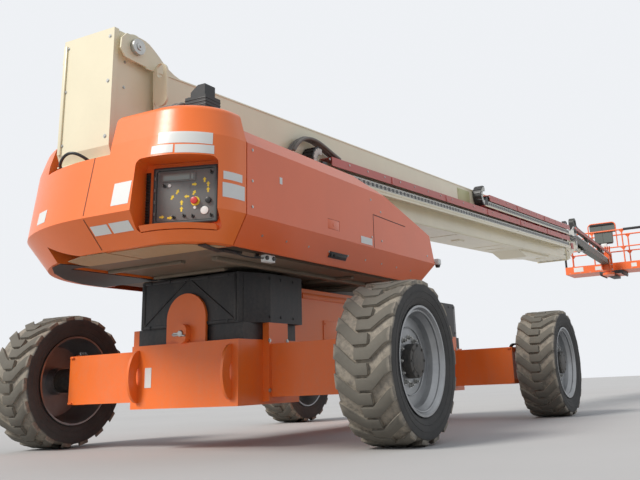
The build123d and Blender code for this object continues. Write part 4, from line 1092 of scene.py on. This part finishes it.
def makeLampTrim():
    ribs = Maker()
    x, y, z = lampTrim["firstRib"]
    for step in range(lampTrim["ribs"]):
        ribs.box((x, y, z + lampTrim["ribGap"] * step), lampTrim["ribSize"], bevel=0.002)
    ahead, across, top = lampTrim["screws"]
    for x in ahead:
        for y in across:
            ribs.bolt((x, y, top), (0, 0, 1), 0.007, 0.006)
    ribs.done("lampRibs", "knobBlack", "turntable")
    runs = []
    for lane in range(lampTrim["hoses"]):
        y = lampTrim["hoseStart"] - lampTrim["hoseGap"] * lane
        runs.append((0.014, [(-3.22, y, 2.28), (-3.27, y - 0.02, 2.34 + 0.01 * (lane % 2)), (-3.24, y - 0.10, 2.37),
                             (-3.20, -0.78, 2.36), (-3.17, -0.83, 2.33)]))
    hoses("lampHoses", runs, "sleeveGrey", "turntable")
    boxes("lampBracket", "orangePaint", "turntable", lampTrim["bracket"])


# Engine top: cover plate, plugs, and three pipes along the side of the block
engineTrim = {
    "cover": ((-1.2, 0.825, 1.90), (0.9, 0.26, 0.05)),
    "plugs": 6, "firstPlug": (-1.68, 0.825, 1.90), "plugGap": 0.18, "plugHeight": 0.045,
    "pipes": (-1.78, -0.62, 1.004, (1.50, 1.62, 1.74)),     # from, to, out, heights
}


def makeUprightTrim():
    ends = Maker()
    for side in (-1, 1):
        spot = Vector((boomLine["pivot"][0], side * uprightTrim["pinFace"], boomLine["pivot"][2]))
        out = Vector((0, side, 0))
        for start, end, radius, sides, bevel in uprightTrim["pin"]:
            ends.rod(spot + out * start, spot + out * end, radius, sides, bevel=bevel)
    ends.done("pivotPinEnds", "zincSteel", "turntable")
    rods("uprightWelds", "creamPaint", "turntable", [
        ((start[0], side * 0.247, start[1]), (end[0], side * 0.247, end[1]), radius, 8, 0)
        for side in (-1, 1) for start, end, radius in uprightTrim["welds"]])
    engine = Maker()
    engine.box(*engineTrim["cover"], bevel=0.01)
    first, y, z = engineTrim["firstPlug"]
    for step in range(engineTrim["plugs"]):
        x = first + engineTrim["plugGap"] * step
        engine.rod((x, y, z), (x, y, z + engineTrim["plugHeight"]), 0.03, 20, bevel=0.004)
    start, end, y, levels = engineTrim["pipes"]
    for level in levels:
        engine.rod((start, y, level), (end, y, level), 0.018, 12)
    engine.done("engineTop", "blackSteel", "turntable")


makeControls()
makePlaques()
makeHoodTrim(-1, "right_hood", -3.03)
makeHoodTrim(1, "left_hood", -2.09)
makeHoodExtras()
makeAlarm()
makeTailTrim()
makeCoverTrim()
makeLampTrim()
makeUprightTrim()
print("turntable")

# Boom base: weld seams, covers below, side plate, wear pad screws, pin caps
section = {"half": boomLine["width"] / 2, "low": -boomLine["drop"] - boomLine["height"] / 2,
           "high": -boomLine["drop"] + boomLine["height"] / 2}
boomTrim = {
    "end": 12.0,
    "seams": [(0.55, section["low"] + 0.012), (0.10, section["high"] - 0.012)],     # start, height
    "crossSeams": (1.30, 3.40, 6.20, 8.10, 10.0),
    "covers": (1.75, 6.9, 9.4, 11.2), "coverScrews": (0.085, 0.055),
    "patches": [(2.6, 0.30), (8.7, 0.22)],
    "plate": (6.53, -0.290, (0.46, 0.005, 0.240)), "plateScrews": ((6.34, 6.72), (-0.20, -0.380)),
    "padRows": (11.90, 12.00), "padSides": (-0.25, -0.40, -0.62, -0.76), "padBelow": (-0.20, -0.07, 0.07, 0.20),
    "liftPin": (4.75, -0.990), "caps": [(0.022, 0.070, 36, 0.004), (0.030, 0.034, 28, 0.003)],
}


def makeBoomTrim():
    welds = Maker()
    for side in (-1, 1):
        for start, rise in boomTrim["seams"]:
            welds.rod(*[boomAt(along, side * (section["half"] + 0.001), rise) for along in (start, boomTrim["end"])],
                      0.006, 6)
    for along in boomTrim["crossSeams"]:
        welds.box(boomAt(along, 0, section["low"] - 0.001), (0.012, 0.56, 0.006), boomFrame, bevel=0.002)
    welds.done("boomWelds", "creamPaint", "boom")
    covers = Maker()
    ahead, out = boomTrim["coverScrews"]
    for along in boomTrim["covers"]:
        covers.box(boomAt(along, 0, section["low"] - 0.003), (0.20, 0.14, 0.008), boomFrame, bevel=0.003)
        for across in (-out, out):
            for step in (-ahead, ahead):
                covers.bolt(boomAt(along + step, across, section["low"] - 0.007), -boomUp, 0.006, 0.005)
    for along, wide in boomTrim["patches"]:
        covers.box(boomAt(along, 0.02, section["low"] - 0.0015), (wide, 0.34, 0.004), boomFrame, bevel=0.002)
    covers.done("boomCovers", "creamPaint", "boom")
    plate = Maker()
    along, rise, size = boomTrim["plate"]
    plate.box(boomAt(along, -section["half"] - 0.002, rise), size, boomFrame, bevel=0.002)
    places, rises = boomTrim["plateScrews"]
    for along in places:
        for rise in rises:
            plate.bolt(boomAt(along, -section["half"] - 0.004, rise), (0, -1, 0), 0.007, 0.005)
    plate.done("boomPlate", "platePaint", "boom")
    spots = [(boomAt(along, side * (section["half"] + 0.001), rise), (0, side, 0))
             for side in (-1, 1) for rise in boomTrim["padSides"] for along in boomTrim["padRows"]]
    spots += [(boomAt(along, across, section["low"] - 0.001), -boomUp)
              for across in boomTrim["padBelow"] for along in boomTrim["padRows"]]
    bolts("wearPadScrews", "boom", spots, 0.012, 0.010)
    along, rise = boomTrim["liftPin"]
    eyes = [(side, boomAt(along, side * 0.175, rise)) for side in (-1, 1)]
    rods("liftPinCaps", "zincSteel", "boom",
         [(eye, eye + Vector((0, side * out, 0)), *rest) for side, eye in eyes for out, *rest in boomTrim["caps"]])


# Cable trays: start, end, ledge, guard low, guard top, height of the loop, brackets below
trays = [
    (2.30, 11.90, -0.610, -0.500, -0.410, 0.260, 0),
    (7.00, 12.00, -0.360, -0.270, -0.175, 0.294, 4),
]
trayTrim = {"face": -0.450, "screwGap": 0.40, "joints": 1.6, "brackets": (0.55, 1.15)}


def makeTrayTrim():
    face = trayTrim["face"]
    ledges, screws, brackets = Maker(), Maker(), Maker()
    for start, end, ledge, low, top, _, below in trays:
        length = end - start
        ledges.box(boomAt((start + end) / 2, face - 0.0015, ledge - 0.006), (length, 0.005, 0.020), boomFrame,
                   bevel=0.001)
        count = int(length / trayTrim["screwGap"])
        for step in range(count):
            along = start + length * (step + 0.5) / count
            screws.bolt(boomAt(along, face - 0.001, (low + top) / 2 + 0.012), (0, -1, 0), 0.008, 0.006)
            screws.bolt(boomAt(along, face - 0.001, ledge - 0.006), (0, -1, 0), 0.006, 0.005)
        first, gap = trayTrim["brackets"]
        for step in range(below):
            brackets.box(boomAt(start + first + gap * step, -0.375, ledge - 0.024), (0.030, 0.145, 0.022), boomFrame,
                         bevel=0.003)
        for step in range(1, int(length / trayTrim["joints"])):
            brackets.box(boomAt(start + trayTrim["joints"] * step, face - 0.003, (low + top) / 2),
                         (0.05, 0.006, top - low - 0.01), boomFrame, bevel=0.002)
    ledges.done("trayLedges", "creamPaint", "boom")
    screws.done("trayScrews", "zincSteel", "boom")
    brackets.done("trayBrackets", "trayPaint", "boom")


# Cable carriers: links along the tray and round the loop, hoses at the nose, sleeved hoses at the start
chain = {
    "pitch": 0.10, "start": 0.22, "spare": 0.30, "lift": 0.043,
    "link": (0.093, 0.004, 0.070), "hole": (0.056, 0.002, 0.040),
    "loopLinks": 9, "loopFrom": 255, "loopStep": 22, "loopLink": (0.036, 0.004, 0.062), "tie": (0.018, 0.124, 0.010),
    "sleeves": [(1.96, 0.014, -0.440, 0), (2.00, 0, -0.370, 0), (2.12, 0, -0.285, 1), (2.30, 0, -0.262, 1),
                (2.48, 0, -0.292, 0), (2.64, 0, -0.345, 0), (2.80, 0, -0.385, 0)],      # last: rises with its lane
}


def makeChain(number, start, end, ledge, loop):
    links, holes = Maker(), Maker()
    rise = ledge + chain["lift"]
    for step in range(int((end - start - chain["spare"]) / chain["pitch"])):
        along = start + chain["start"] + chain["pitch"] * step
        joint = along + chain["pitch"] / 2
        links.box(boomAt(along, -0.437, rise), chain["link"], boomFrame, bevel=0.0015, segments=1)
        holes.box(boomAt(along, -0.4392, rise), chain["hole"], boomFrame)
        holes.rod(boomAt(joint, -0.434, rise), boomAt(joint, -0.441, rise), 0.009, 8)
    for step in range(chain["loopLinks"]):
        angle = radians(chain["loopFrom"] - chain["loopStep"] * step)
        turn = boomFrame @ Matrix.Rotation(angle + pi / 2, 3, "Y").transposed()
        for maker, out, side, size, bevel in ((links, loop / 2 - 0.043, -0.437, chain["loopLink"], 0.0015),
                                              (holes, loop / 2 + 0.003, -0.3725, chain["tie"], 0.002)):
            spot = boomAt(start + 0.04 + out * cos(angle), side, ledge + loop / 2 + out * sin(angle))
            maker.box(spot, size, turn, bevel=bevel, segments=1)
    links.done("chainLinks_%d" % number, "linkGrey", "boom", 30)
    holes.done("chainGaps_%d" % number, "knobBlack", "boom")
    runs = []
    for lane in range(3):
        y = -0.345 - 0.030 * lane
        top = ledge + loop - 0.035
        runs.append((0.012, [boomAt(end - 0.14, y, top), boomAt(end - 0.02, y, top),
                             boomAt(end + 0.05, y + 0.02, top - 0.05), boomAt(end + 0.02, y + 0.05, top - 0.16),
                             boomAt(end - 0.04, y + 0.05, top - 0.21)]))
    hoses("trayHoses_%d" % number, runs, "hoseRubber", "boom")


def makeChains():
    for number, (start, end, ledge, _, _, loop, _) in enumerate(trays):
        makeChain(number, start, end, ledge, loop)
    hoses("traySleeves", [
        (0.016, [boomAt(along, -0.330 - 0.034 * lane + out, rise + 0.012 * (lane % 2) * lifts)
                 for along, out, rise, lifts in chain["sleeves"]])
        for lane in range(3)], "sleeveGrey", "boom")


# Noses of the sliding sections: body, place along, half width
noses = [("outer_mid", 12.22, 0.276), ("inner_mid", 12.40, 0.252)]
noseTrim = {
    "screws": (-0.30, -0.48, -0.66),
    "flyBrackets": [((12.62, 0.231, -0.34), (0.10, 0.012, 0.10)), ((12.95, 0.231, -0.50), (0.16, 0.010, 0.13))],
    "flyScrews": (12.62, 0.237, (-0.30, -0.38)),
    "hoses": 4,
}


def makeNoseTrim():
    for body, along, half in noses:
        bolts("noseScrews_" + body, body,
              [(boomAt(along, side * (half + 0.016), rise), (0, side, 0))
               for side in (-1, 1) for rise in noseTrim["screws"]], 0.010, 0.008)
    fly = Maker()
    for side in (-1, 1):
        for (along, out, rise), size in noseTrim["flyBrackets"]:
            fly.box(boomAt(along, side * out, rise), size, boomFrame, bevel=0.003)
        along, out, rises = noseTrim["flyScrews"]
        for rise in rises:
            fly.bolt(boomAt(along, side * out, rise), (0, side, 0), 0.010, 0.008)
    fly.done("flyBrackets", "trayPaint", "fly")
    runs = []
    for lane in range(noseTrim["hoses"]):
        y = -0.245 - 0.012 * (lane % 2)
        rise = -0.26 - 0.028 * lane
        runs.append((0.011, [boomAt(12.52, y + 0.01, rise), boomAt(12.62, y, rise), boomAt(12.9, y, rise - 0.02 * lane),
                             boomAt(13.2, y + 0.01, rise - 0.04), boomAt(13.42, y + 0.02, rise + 0.02)]))
    hoses("flyHoses", runs, "hoseRubber", "fly")


# Lift cylinder: two pipes, a valve at its foot, bands round the barrel
liftTrim = {
    "foot": (-2.200, 0, 1.560),
    "pipes": [(0.20, 1.0), (0.34, 1.10), (1.5, 1.10), (3.2, 1.10), (3.34, 0.9)],    # along, how far out
    "bands": (0.5, 1.4, 2.4, 3.25), "bandRadius": 0.0975,
}


def makeLiftTrim():
    foot = Vector(liftTrim["foot"])
    left = Vector((0, 1, 0))
    along, rise = boomTrim["liftPin"]
    way = (boomAt(along, 0, rise) - foot).normalized()
    below = way.cross(left).normalized()
    pipes = []
    for side in (-1, 1):
        spot = left * side * 0.070 - below * 0.082
        pipes.append((0.011, [foot + way * reach + spot * out for reach, out in liftTrim["pipes"]]))
    hoses("liftPipes", pipes, "zincSteel", "lift_barrel")
    valve = Maker()
    valve.box(foot + way * 0.24 - below * 0.125, (0.16, 0.11, 0.07), Matrix((way, left, below)).transposed(),
              bevel=0.006)
    for reach in liftTrim["bands"]:
        valve.ring(foot + way * reach, way, liftTrim["bandRadius"], 0.0045, around=48, sides=8)
    valve.done("liftBands", "zincSteel", "lift_barrel")


makeBoomTrim()
makeTrayTrim()
makeChains()
makeNoseTrim()
makeLiftTrim()
print("boom")

# Jib: stripe on the cheeks, cover of the hose tray, hose bundle with its loop, pins, valve
jibTrim = {
    "stripe": [(0.02, 0.070), (3.46, 0.044), (3.46, 0.068), (0.02, 0.098)],        # along, up
    "guard": [(0.30, 0.284), (3.00, 0.258), (3.00, 0.284), (0.30, 0.310)],
    "lid": [(0.30, -0.070, 0.3005), (3.00, -0.070, 0.2725), (3.00, 0.070, 0.2725), (0.30, 0.070, 0.3005)],
    "screws": (0.8, 1.6, 2.4),
    "hoses": 5, "hoseGap": 0.026,
    "rise": [(0.17, 0.095), (0.16, 0.22)],
    "loop": (0.30, 0.40, 0.10625, 0.105),       # middle along and up, radii
    "run": [(0.42, 0.335), (0.62, 0.322), (1.6, 0.312), (2.7, 0.302), (2.96, 0.296), (3.06, 0.26), (3.09, 0.18),
            (3.08, 0.075)],
    "eye": (0.944, -0.130),
    "sidePlate": ((10.33, 0.178, 3.40), (0.20, 0.010, 0.26)),
    "headCap": (0.116, 0.124, 0.052),           # from, to, radius
    "valve": ((10.31, -0.192, 3.52), (0.13, 0.022, 0.085)),
    "ports": 4, "firstPort": (10.265, -0.200, 3.52), "portGap": 0.03,
}


def makeJibTrim():
    stripe, cover, pins, heads = Maker(), Maker(), Maker(), Maker()
    for side in (-1, 1):
        stripe.prism([jibAt(along, side * 0.0915, rise) for along, rise in jibTrim["stripe"]], (0, side * 0.002, 0))
        cover.prism([jibAt(along, side * 0.066, rise) for along, rise in jibTrim["guard"]], (0, side * 0.005, 0))
        for along in jibTrim["screws"]:
            cover.bolt(jibAt(along, side * 0.071, 0.286 - 0.0097 * along), (0, side, 0), 0.007, 0.005)
        along, rise = jibTrim["eye"]
        spot = jibAt(along, side * 0.052, rise)
        pins.rod(spot, spot + Vector((0, side * 0.020, 0)), 0.034, 28, bevel=0.003)
        x, y, z = jibLine["pivot"]
        start, end, radius = jibTrim["headCap"]
        heads.rod((x, side * start, z), (x, side * end, z), radius, 32, bevel=0.002)
        (x, y, z), size = jibTrim["sidePlate"]
        heads.box((x, side * y, z), size, bevel=0.003)
    stripe.done("jibStripe", "headPaint", "jib")
    cover.prism([jibAt(*point) for point in jibTrim["lid"]], jibUp * 0.004)
    cover.done("jibTrayCover", "trayPaint", "jib")
    middle, height, reach, rise = jibTrim["loop"]
    turns = [pi - pi * step / 8 for step in range(9)]
    loop = [(middle + reach * cos(angle), height + rise * sin(angle)) for angle in turns]
    path = jibTrim["rise"] + loop + jibTrim["run"]
    lanes = [jibTrim["hoseGap"] * (lane - (jibTrim["hoses"] - 1) / 2) for lane in range(jibTrim["hoses"])]
    hoses("jibHoses", [(0.011, [jibAt(along, y, up) for along, up in path]) for y in lanes], "hoseRubber", "jib")
    pins.done("jibEyeCaps", "zincSteel", "jib")
    heads.done("jibPinCaps", "headPaint", "jib_head")
    block = Maker()
    block.box(*jibTrim["valve"], bevel=0.004)
    first, y, z = jibTrim["firstPort"]
    for step in range(jibTrim["ports"]):
        x = first + jibTrim["portGap"] * step
        block.rod((x, y, z), (x, y - 0.012, z), 0.009, 12)
    block.done("jibValve", "blackSteel", "jib_head")


# Platform support: pin caps, bolts of the rotator, its cap and valve, hose loops
supportTrim = {
    "pin": (14.067, 3.2795), "bolts": (3.08, 3.20, 3.38, 3.50),
    "cap": ((14.32, 0, 3.515), (14.32, 0, 3.545), 0.060), "valve": ((14.245, 0.100, 3.47), (0.07, 0.09, 0.08)),
    "hoses": [(14.215, 0, 3.50), (14.195, 0, 3.60), (14.200, -0.01, 3.68), (14.235, -0.02, 3.70),
              (14.262, -0.02, 3.64), (14.262, 0, 3.54), (14.255, 0, 3.46)],
}


def makeSupportTrim():
    caps = Maker()
    x, z = supportTrim["pin"]
    for side in (-1, 1):
        caps.rod((x, side * 0.116, z), (x, side * 0.124, z), 0.048, 32, bevel=0.002)
        for height in supportTrim["bolts"]:
            caps.bolt((14.208, side * 0.135, height), (-1, 0, 0), 0.011, 0.009)
    caps.done("supportPins", "zincSteel", "support")
    motor = Maker()
    motor.rod(*supportTrim["cap"], 32, bevel=0.004)
    motor.box(*supportTrim["valve"], bevel=0.006)
    motor.done("rotatorCap", "blackSteel", "support")
    hoses("supportHoses", [(0.012, [(x, -0.10 + 0.055 * lane + y, z) for x, y, z in supportTrim["hoses"]])
                           for lane in range(3)], "cableOrange", "support")


makeJibTrim()
makeSupportTrim()
print("jib")

# Platform: frame below, floor ribs, gussets, post feet, foam bar, post sleeve, blank plates, screws
deckEdge = {"rear": 14.650, "front": 15.560, "half": 1.220, "floor": 3.100, "inset": 0.026, "railTop": 4.200}
platformTrim = {
    "frame": [((15.03, 0, 3.0560), (0.774, 0.612, 0.088)), ((15.02, 0, 2.9790), (0.79, 0.188, 0.066))],
    "tubes": (14.66, 15.40, 0.28, 2.996),       # from, to, out, height
    "ribs": 15, "ribMargin": 0.06,
    "posts": (-1.194, -0.40, 0.40, 1.194),
    "railLevels": (4.180, 3.716),
    "gusset": [(0.016, -0.018), (0.075, -0.018), (0.016, -0.085)],      # along the rail, up
    "gussetThick": 0.006,
    "foam": (-1.10, -0.45), "sleeve": (3.30, 3.72),
    "rearPlates": [(-0.98, 3.20, 0.20, 0.11), (-0.62, 3.20, 0.14, 0.10), (0.30, 3.20, 0.22, 0.10),
                   (0.86, 3.21, 0.26, 0.12)],   # y, z, width, height
    "endPlates": [(14.86, 0.16), (15.30, 0.20)],
    "frontPlates": (-0.85, 0.70),
    "plate": (0.0012, 0.002),                   # its middle in front of the face, its thickness
    "screws": 9, "screwGap": 0.275, "screwHeight": 3.125,
}


def makePlatformTrim():
    rear, front, half, floor = (deckEdge[k] for k in ("rear", "front", "half", "floor"))
    inset, railTop = deckEdge["inset"], deckEdge["railTop"]
    frameShell = Maker()
    for centre, size in platformTrim["frame"]:
        frameShell.box(centre, size, bevel=0.003)
    start, end, out, level = platformTrim["tubes"]
    for y in (-out, out):
        frameShell.rod((start, y, level), (end, y, level), 0.015, 16, bevel=0.003)
    frameShell.done("platformFrame", "blackSteel", "platform")
    margin, count = platformTrim["ribMargin"], platformTrim["ribs"] - 1
    boxes("floorRibs", "zincSteel", "platform", [
        ((rear + margin + (front - rear - 2 * margin) * step / count, 0, floor + 0.043),
         (0.012, 2 * half - 0.10, 0.006), 0.0015) for step in range(count + 1)])
    gussets = Maker()
    thick = platformTrim["gussetThick"]
    for x in (rear + inset, front - inset):
        for y in platformTrim["posts"]:
            for level in platformTrim["railLevels"]:
                for side in (-1, 1):
                    if abs(y + side * 0.05) < half - inset:
                        gussets.prism([(x - thick / 2, y + side * along, level + up)
                                       for along, up in platformTrim["gusset"]], (thick, 0, 0))
            gussets.box((x, y, floor + 0.048), (0.050, 0.050, 0.012), bevel=0.003)
    y = -half + inset - thick / 2
    for x, side in ((rear + inset, 1), (front - inset, -1)):
        for level in platformTrim["railLevels"]:
            gussets.prism([(x + side * along, y, level + up) for along, up in platformTrim["gusset"]], (0, thick, 0))
    gussets.done("railGussets", "platformPaint", "platform")
    start, end = ((rear + inset, y, railTop - 0.020) for y in platformTrim["foam"])
    rods("railFoam", "padFoam", "platform", [(start, end, 0.034, 28, 0.006)])
    start, end = ((rear + inset, half - inset, z) for z in platformTrim["sleeve"])
    rods("postSleeve", "hoseRubber", "platform", [(start, end, 0.028, 24, 0.004)])
    ahead, thick = platformTrim["plate"]
    rows = [((rear - ahead, y, z), (thick, wide, high), 0) for y, z, wide, high in platformTrim["rearPlates"]]
    rows += [((x, -half - ahead, 3.20), (wide, thick, 0.10), 0) for x, wide in platformTrim["endPlates"]]
    rows += [((front + ahead, y, 3.20), (thick, 0.20, 0.10), 0) for y in platformTrim["frontPlates"]]
    boxes("platformPlaques", "plateWhite", "platform", rows)
    count, gap, level = (platformTrim[k] for k in ("screws", "screwGap", "screwHeight"))
    spots = [((x, gap * (step - (count - 1) / 2), level), (way, 0, 0))
             for step in range(count) for x, way in ((rear, -1), (front, 1))]
    bolts("toeScrews", "platform", spots, 0.007, 0.005)


# Console: face, control sticks, switches, stop, guard bar, pads, seams, socket, cables
console = {
    "rear": 14.696, "faceStart": 4.390,
    "sticks": (-0.10, 0.30), "gaiter": 3,
    "switches": 6, "switchGap": 0.035,
    "stop": (0.17, 0.40, [(0.004, 0.020, 0.014, 20, 0), (0.018, 0.036, 0.025, 32, 0.005)]),
    "guard": (0.22, (-0.19, 0.42), 0.075, 0.008),
    "seams": [(4.275, 0.006, 0.19), (4.020, 0.006, 0.29), (4.172, 0.46, 0.006)],      # z, width, height
    "socket": ((14.735, 0.11, 3.790), (0.060, 0.150, 0.128), 0.006),
    "cables": [(0.05, 1, 3.875), (0.05, 1, 3.80), (0.02, 1, 3.60), (0.01, 0.8, 3.40), (0.05, 0.7, 3.20),
               (0.05, 0.7, 3.145)],
}


def makeConsoleTrim():
    rear = console["rear"]
    slope = Vector((0.230, 0, -0.080)).normalized()
    up = Vector((0.080, 0, 0.230)).normalized()
    tilt = Matrix((slope, Vector((0, 1, 0)), up)).transposed()

    def on(ahead, y, lift=0.0):
        return Vector((rear, y, console["faceStart"])) + slope * ahead + up * lift

    boxes("consoleFace", "panelGrey", "platform", [(on(0.120, 0.115, 0.003), (0.215, 0.620, 0.006), 0.002)], tilt)
    rows = []
    for y in console["sticks"]:
        for step in range(console["gaiter"]):
            lift = 0.007 * step
            rows.append((on(0.12, y, 0.004 + lift), on(0.12, y, 0.012 + lift), 0.032 - 0.006 * step, 24, 0.002))
        rows.append((on(0.12, y, 0.02), on(0.12, y, 0.050), 0.008, 14, 0))
        rows.append((on(0.12, y, 0.040), on(0.12, y, 0.076), 0.019, 20, 0.007))
    for step in range(console["switches"]):
        for ahead in (0.06, 0.14):
            spot = on(ahead, 0.02 + console["switchGap"] * step, 0.005)
            rows += [(spot, spot + up * 0.008, 0.010, 14, 0), (spot, spot + up * 0.026, 0.004, 10, 0)]
    rods("consoleSticks", "knobBlack", "platform", rows)
    ahead, y, parts = console["stop"]
    rods("consoleStop", "markRed", "platform",
         [(on(ahead, y, start), on(ahead, y, end), *rest) for start, end, *rest in parts])
    guard = Maker()
    ahead, ends, lift, radius = console["guard"]
    for y in ends:
        guard.rod(on(ahead, y), on(ahead, y, lift), radius, 14)
        guard.ball(on(ahead, y, lift), radius + 0.0005)
    guard.rod(*[on(ahead, y, lift) for y in ends], radius, 14)
    guard.done("consoleGuard", "shroudBlack", "platform")
    pads = Maker()
    pads.rod((rear - 0.006, -0.20, 4.372), (rear - 0.006, 0.43, 4.372), 0.026, 24, bevel=0.006)
    pads.box((rear + 0.115, 0.115, 3.862), (0.13, 0.44, 0.014), bevel=0.004)
    pads.done("consolePads", "padFoam", "platform")
    boxes("consoleSeams", "knobBlack", "platform",
          [((rear - 0.0008, 0.115, z), (0.002, wide, high), 0) for z, wide, high in console["seams"]])
    boxes("socketCase", "plateWhite", "platform", [console["socket"]])
    hoses("consoleCables", [(0.009, [(rear + ahead, (0.20 + 0.03 * lane) * inward, z)
                                     for ahead, inward, z in console["cables"]])
                            for lane in range(3)], "hoseRubber", "platform")


makePlatformTrim()
makeConsoleTrim()

# Gate: blank plate on its toe board and the catch on its post: centre, size, bevel
gateTrim = {
    "plaque": ((15.10, 1.2002, 3.235), (0.22, 0.002, 0.09), 0),
    "catch": ((14.735, 1.194, 3.90), (0.055, 0.028, 0.090), 0.005),
}
boxes("gatePlaque", "plateWhite", "gate", [gateTrim["plaque"]])
boxes("gateCatch", "blackSteel", "gate", [gateTrim["catch"]])
print("platform")

# Light: a soft sun from the left rear, a pale sky, a plain floor
light = {
    "sunTurn": (50, 0, -116),
    "sunStrength": 3.1,
    "sunSoftness": 20,
    "sunColour": (1.0, 0.97, 0.92),
    "skyColour": (0.80, 0.86, 0.95),
    "skyStrength": 0.66,
    "backdrop": (0.86, 0.88, 0.91),
    "floor": (0.46, 0.45, 0.44),
    "floorSize": 120,
}


def makeFloor():
    made = Finish("floorFinish")
    fine = made.noise(40, 6, 0.6)
    wide = made.noise(0.5, 4, 0.5)
    made.surfaceIs(**{
        "Base Color": made.mix(wide.ramp(0.3, 0.7), tuple(c * 0.95 for c in light["floor"]), light["floor"]),
        "Roughness": 0.85,
        "Normal": made.bump(fine, 0.12, 0.004),
    })
    sheet = bmesh.new()
    bmesh.ops.create_grid(sheet, x_segments=1, y_segments=1, size=light["floorSize"])
    mesh = bpy.data.meshes.new("floor")
    sheet.to_mesh(mesh)
    sheet.free()
    mesh.materials.append(made.material)
    floor = bpy.data.objects.new("floor", mesh)
    bpy.context.scene.collection.objects.link(floor)


def makeLight():
    sun = bpy.data.lights.new("softSun", "SUN")
    sun.energy = light["sunStrength"]
    sun.angle = radians(light["sunSoftness"])
    sun.color = light["sunColour"]
    lamp = bpy.data.objects.new("softSun", sun)
    lamp.rotation_euler = tuple(radians(a) for a in light["sunTurn"])
    bpy.context.scene.collection.objects.link(lamp)

    # the camera and mirror-like finishes see the backdrop, everything else the sky
    world = bpy.data.worlds.new("paleSky")
    bpy.context.scene.world = world
    world.use_nodes = True
    tree = world.node_tree
    tree.nodes.clear()
    path = tree.nodes.new("ShaderNodeLightPath")
    mixed = tree.nodes.new("ShaderNodeMixShader")
    end = tree.nodes.new("ShaderNodeOutputWorld")
    rays = [Value(tree, path.outputs[kind]) for kind in ("Is Camera Ray", "Is Glossy Ray", "Is Transmission Ray")]
    tree.links.new(rays[0].most(rays[1]).most(rays[2]).socket, mixed.inputs[0])
    for socket, colour, strength in ((mixed.inputs[1], light["skyColour"], light["skyStrength"]),
                                     (mixed.inputs[2], light["backdrop"], 1.0)):
        glow = tree.nodes.new("ShaderNodeBackground")
        glow.inputs["Color"].default_value = (*colour, 1)
        glow.inputs["Strength"].default_value = strength
        tree.links.new(glow.outputs[0], socket)
    tree.links.new(mixed.outputs[0], end.inputs["Surface"])


makeFloor()
makeLight()
bpy.context.scene.view_settings.view_transform = "Standard"
print("stage ready")
